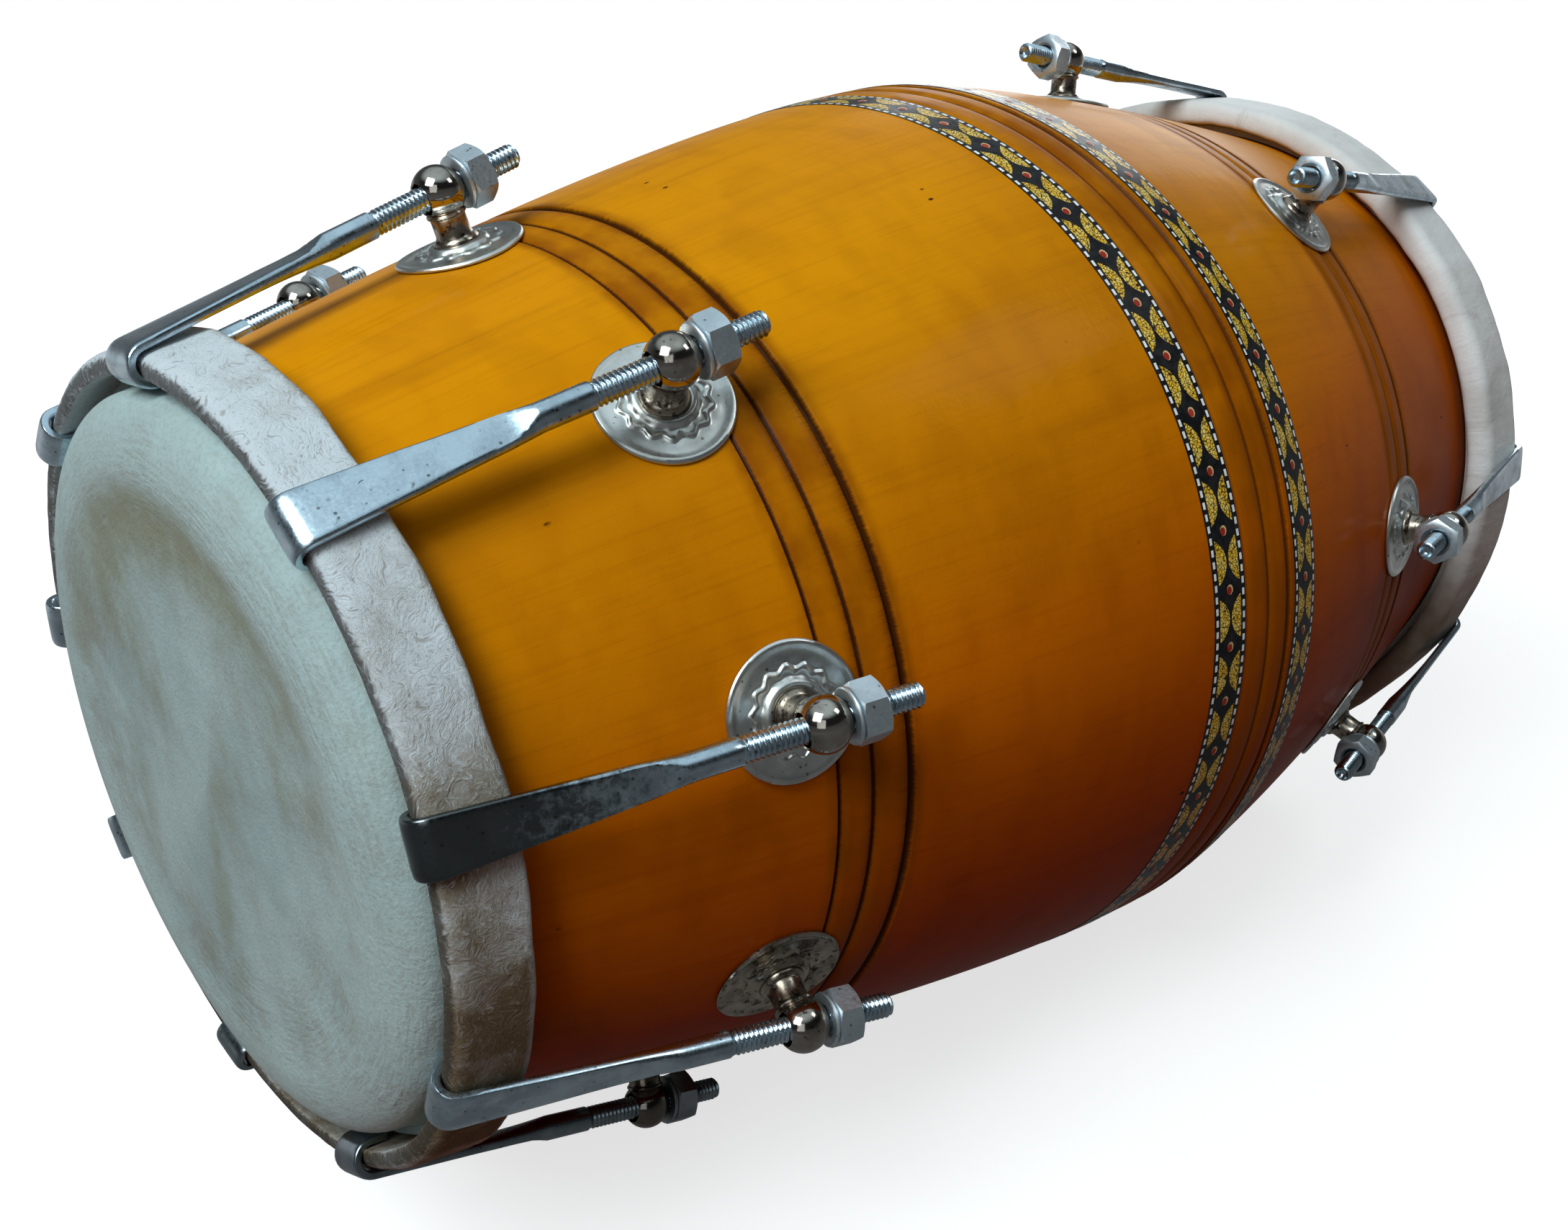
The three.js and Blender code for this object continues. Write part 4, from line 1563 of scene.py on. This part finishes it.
    def nut_place(self) -> Array:
        """Matrix from the nut's frame to the lug's."""
        x, z = self.along(-self.seat)
        lean = turned("Y", math.pi / 2 - self.fit.rod_angle)
        return shift(x, 0, z) @ lean @ turned("Z", 0.35 * self.number)

    def ball(self) -> Form:
        """The bored ball, turned about the rod's axis, in the lug's frame."""
        outline = []
        eye = math.asin(self.eye_radius * 1.06 / self.ball_radius)
        for step in range(25):
            turn = eye + (math.pi - 2 * eye) * step / 24
            outline.append((-self.ball_radius * math.cos(turn), self.ball_radius * math.sin(turn)))
        reach = self.seat - self.washer_gap
        outline += [(reach - 0.45, self.eye_radius), (-reach + 0.45, self.eye_radius)]
        x, z = self.fit.ball
        place = shift(x, 0, z) @ turned("Y", -self.fit.rod_angle)
        return Form().grid(lathe_x(outline, self.ball_columns), along=True).moved(place)

    def post_place(self) -> Array:
        """Matrix from the post's frame, with Z along its stem, to the lug's."""
        fit = self.fit
        return shift(fit.lug_place, 0, fit.lug_radius) @ turned("Y", -fit.slope)

    def stem(self) -> Form:
        """The stem, with its foot flange and the collar under the ball."""
        foot = [(5.6, 0.5), (5.9, 1.4), (5.8, 2.6), (5.3, 3.3), (4.75, 3.7), (4.5, 4.4)]
        collar = [(4.45, 8.2), (4.6, 8.7), (5.0, 9.0), (5.1, 9.4), (4.9, 9.75), (4.4, 9.95)]
        return Form().capped(lathe_z(foot + collar, 40), (0, 0, 0.5), (0, 0, 10.0))

    def shank(self) -> Form:
        """The shank through the wall with the nut and washer inside the drum."""
        inner = -BARREL.wall * math.cos(self.fit.slope)
        nut_top, tip = inner - 0.9, inner - 7.4
        rows = lathe_z([(2.9, 0.4), (2.9, inner - 6.9), (2.4, tip)], 24)
        washer = [(3.0, nut_top), (7.6, nut_top), (7.6, inner), (3.0, inner)]
        form = Form().grid(rows).fan(rows[-1], (0, 0, tip))
        form.join(Form().grid(lathe_z(washer, 40), along=True))
        return form.join(self.hexagon(11.1, inner - 5.4, nut_top, 2.9, 0.97))

    def rosette(self) -> Form:
        """The stamped rosette: rolled rim, wavy ridge and inner dome, bent down onto the wood."""
        turn = round_turn(self.rosette_columns)
        profile = [
            (16.6, 0.30), (16.62, 0.75), (16.3, 1.15), (15.8, 1.3), (15.2, 1.18), (14.6, 0.95),
            (13.7, 0.92), (12.9, 1.0), (12.2, 1.05), (11.6, 1.08), (11.2, 1.12), (10.95, 1.28),
            (10.7, 1.55), (10.4, 1.64), (10.1, 1.55), (9.85, 1.28), (9.6, 1.14), (9.2, 1.14),
            (8.6, 1.18), (8.3, 1.3), (7.9, 1.7), (7.5, 2.1), (7.1, 2.35), (6.6, 2.42),
            (6.1, 2.3), (5.6, 1.9), (5.3, 1.3),
        ]
        rings = []
        for radius, height in profile:
            share = max(0.0, 1 - (max(0.0, abs(radius - self.ridge) - 0.8) / 1.6) ** 2)
            wave = 0.55 * share * np.cos(self.ridge_waves * turn + self.number)
            rings.append(ring(radius + wave, height, turn))
        rings += [ring(radius, 0.2, turn) for radius in (5.3, 10.0, 15.5, 16.3)]
        rows = np.array(rings)
        rows[..., 2] -= 0.85 * (rows[..., 1] ** 2 / (2 * self.fit.lug_radius))
        return Form().grid(rows, along=True)

    def build(self) -> dict[str, bpy.types.Object]:
        """Builds the lug's pieces.

        Returns:
            The pieces by what they are.
        """
        lug, post = self.fit.lug_matrix(self.number), self.post_place()
        forms = {
            "rod": self.hook(),
            "turning_nut": self.nut().moved(self.nut_place()),
            "eye_ball": self.ball(),
            "stem": self.stem().moved(post),
            "shank": self.shank().moved(post),
            "rosette": self.rosette().moved(post),
        }
        return {kind: form.moved(lug).make(self.name(kind), 32) for kind, form in forms.items()}

    def dress(self) -> None:
        """Builds the lug and plates its pieces."""
        here, end = (self.fit.end, self.number), self.fit.end.value
        rod = STAINED_ZINC if here == self.stained_hook else ZINC
        disc = TARNISHED_NICKEL if here == self.tarnished_rosette else STAMPED_NICKEL
        finishes = {
            "rod": (rod, "zinc_steel", "hook", f"{end}_tension_set"),
            "turning_nut": (NUT_ZINC, "zinc_steel", "nut", self.name("turning_nut")),
            "eye_ball": (NICKEL, "nickel_plate", "post", "drum_body"),
            "stem": (TARNISHED_NICKEL, "nickel_plate", "post", "drum_body"),
            "shank": (NUT_ZINC, "nickel_plate", "post", "drum_body"),
            "rosette": (disc, "nickel_plate", "post", "drum_body"),
        }
        pieces = self.build()
        for kind, (finish, slot, node, body) in finishes.items():
            self.keep(pieces[kind], [finish], slot, [self.name(node)], body)


@dataclass
class Studio:
    """The pale floor, the soft lights and the camera."""

    floor_half: float = 14.0
    floor_drop: float = 0.0004
    key_power: float = 20.8
    fill_power: float = 1.8
    sheen_power: float = 1.6
    back_power: float = 8.0
    target: tuple[float, float, float] = (0.0, 0.0, 0.15)
    eye: tuple[float, float, float] = (-0.3321, -0.3326, 0.3048)
    gaze: tuple[float, float, float] = (0.6549, 0.6679, -0.3535)
    roll: float = 2.84
    lens: float = 33.24
    shift_right: float = -0.0389
    shift_up: float = 0.0043

    def depth(self, nodes: Nodes, way: Socket) -> Socket:
        """How far a point or direction lies to the side that the drum's lugs are seen against."""
        x, y, _ = nodes.parts(way)
        return nodes.total(nodes.product(x, 0.45), nodes.product(y, 0.9))

    def floor(self) -> None:
        """A plain pale floor, which takes the drum's shadow and throws a little warm light back."""
        mesh = bpy.data.meshes.new("floor")
        h = self.floor_half
        mesh.from_pydata([(-h, -h, 0), (h, -h, 0), (h, h, 0), (-h, h, 0)], [], [(0, 1, 2, 3)])
        floor = added("floor", mesh)
        floor.location.z = -self.floor_drop
        nodes = Nodes(bpy.data.materials.new("pale_floor"))
        camera, mirrored = nodes.rays()
        spot = nodes.add("TexCoord").outputs["Object"]
        far = nodes.spread(self.depth(nodes, spot), -0.4, 0.7, 0.10, 0.42)
        seen = nodes.math("MAXIMUM", camera, nodes.product(mirrored, far))
        grey = nodes.mix(seen, (0.0, 0.0, 0.0), (0.45, 0.45, 0.45))
        shown = nodes.math("MAXIMUM", camera, mirrored)
        nodes.set(Base_Color=nodes.mix(shown, (0.15, 0.045, 0.02), grey))
        nodes.set(Roughness=1.0, Specular_IOR_Level=0.0)
        glow = nodes.spread(nodes.length(spot), 0.3, 1.3, 0.72, 1.0)
        nodes.set(Emission_Color=(1, 1, 1), Emission_Strength=nodes.product(seen, glow))
        mesh.materials.append(nodes.owner)

    def lamp(
        self, name: str, place: Sequence[float], size: float, power: float, colour: Colour
    ) -> None:
        """A soft square lamp that faces the drum.

        Args:
            name: Name of the lamp.
            place: Where it hangs, in metres.
            size: Length of its side.
            power: Watts.
            colour: Colour of its light.
        """
        data = bpy.data.lights.new(name, "AREA")
        data.shape, data.size, data.energy, data.color = "SQUARE", size, power, colour
        lamp = added(name, data)
        lamp.location = place
        away = Vector(place) - Vector(self.target)
        lamp.rotation_euler = away.to_track_quat("Z", "Y").to_euler()

    def sky(self) -> None:
        """A room: white to the camera, a ceiling and a far wall to mirrors, dim to the rest."""
        world = bpy.data.worlds.new("studio")
        bpy.context.scene.world = world
        nodes = Nodes(world)
        camera, mirrored = nodes.rays()
        way = nodes.add("TexCoord").outputs["Generated"]
        z = nodes.parts(way)[2]
        wall = nodes.spread(self.depth(nodes, way), -0.3, 0.7, 0.10, 0.6)
        wall = nodes.product(wall, nodes.spread(z, 0.1, 0.34, 1, 0.2))
        glossy = nodes.math("MAXIMUM", wall, nodes.spread(z, 0.60, 0.90, 0.0, 0.85))
        dim = nodes.choice(mirrored, nodes.spread(z, 0.0, 1.0, 0.02, 0.26), glossy)
        cool = nodes.mix(nodes.spread(z, 0.3, 0.7), (0.93, 0.98, 1.0), (0.74, 0.91, 1.0))
        background = nodes.tree.nodes["Background"]
        nodes.feed(background.inputs["Color"], nodes.mix(camera, cool, (1, 1, 1)))
        nodes.feed(background.inputs["Strength"], nodes.choice(camera, dim, 1.0))

    def camera(self) -> None:
        """The camera, where the photograph was taken from."""
        forward = Vector(self.gaze).normalized()
        right = forward.cross(Vector((0, 0, 1))).normalized()
        up = right.cross(forward)
        cos, sin = math.cos(math.radians(self.roll)), math.sin(math.radians(self.roll))
        right, up = right * cos - up * sin, up * cos + right * sin
        data = bpy.data.cameras.new("camera")
        data.sensor_fit, data.sensor_width, data.lens = "HORIZONTAL", 36.0, self.lens
        data.shift_x, data.shift_y, data.clip_start = self.shift_right, self.shift_up, 0.01
        camera = added("camera", data)
        turn = Matrix((right, up, -forward)).transposed().to_4x4()
        camera.matrix_world = Matrix.Translation(self.eye) @ turn
        bpy.context.scene.camera = camera

    def set_up(self) -> None:
        """Sets up the whole studio."""
        bpy.context.scene.view_settings.view_transform = "Standard"
        self.camera()
        self.floor()
        self.sky()
        self.lamp("window", (-1.10, -0.34, 1.30), 0.8, self.key_power, (0.86, 0.96, 1.0))
        self.lamp("front_fill", (-1.20, -0.90, 0.75), 0.8, self.fill_power, (0.90, 0.97, 1.0))
        self.lamp("ceiling_light", (0.55, -0.75, 1.15), 0.35, self.sheen_power, (0.92, 0.98, 1.0))
        self.lamp("back_fill", (1.50, 0.75, 0.80), 0.9, self.back_power, (0.93, 0.97, 1.0))


def main() -> None:
    """Builds and dresses the drum, sub-assembly by sub-assembly, and lights it."""
    logging.basicConfig(level=logging.INFO, format="%(message)s")
    Studio().set_up()
    Shell().dress()
    PrintedTape("treble_side_tape", 221.75, 6.35, 11.85, 6.479).dress()
    PrintedTape("bass_side_tape", 257.1, 6.15, 28.63, 6.294).dress()
    for fit, dish in ((TREBLE_FIT, 1.7), (BASS_FIT, 0.15)):
        DrumHead(fit, dish).dress()
        CounterHoop(fit).dress()
        for number in range(1, len(fit.lug_angles) + 1):
            Lug(fit, number).dress()
    TuningPaste().dress()


if __name__ == "__main__":
    main()
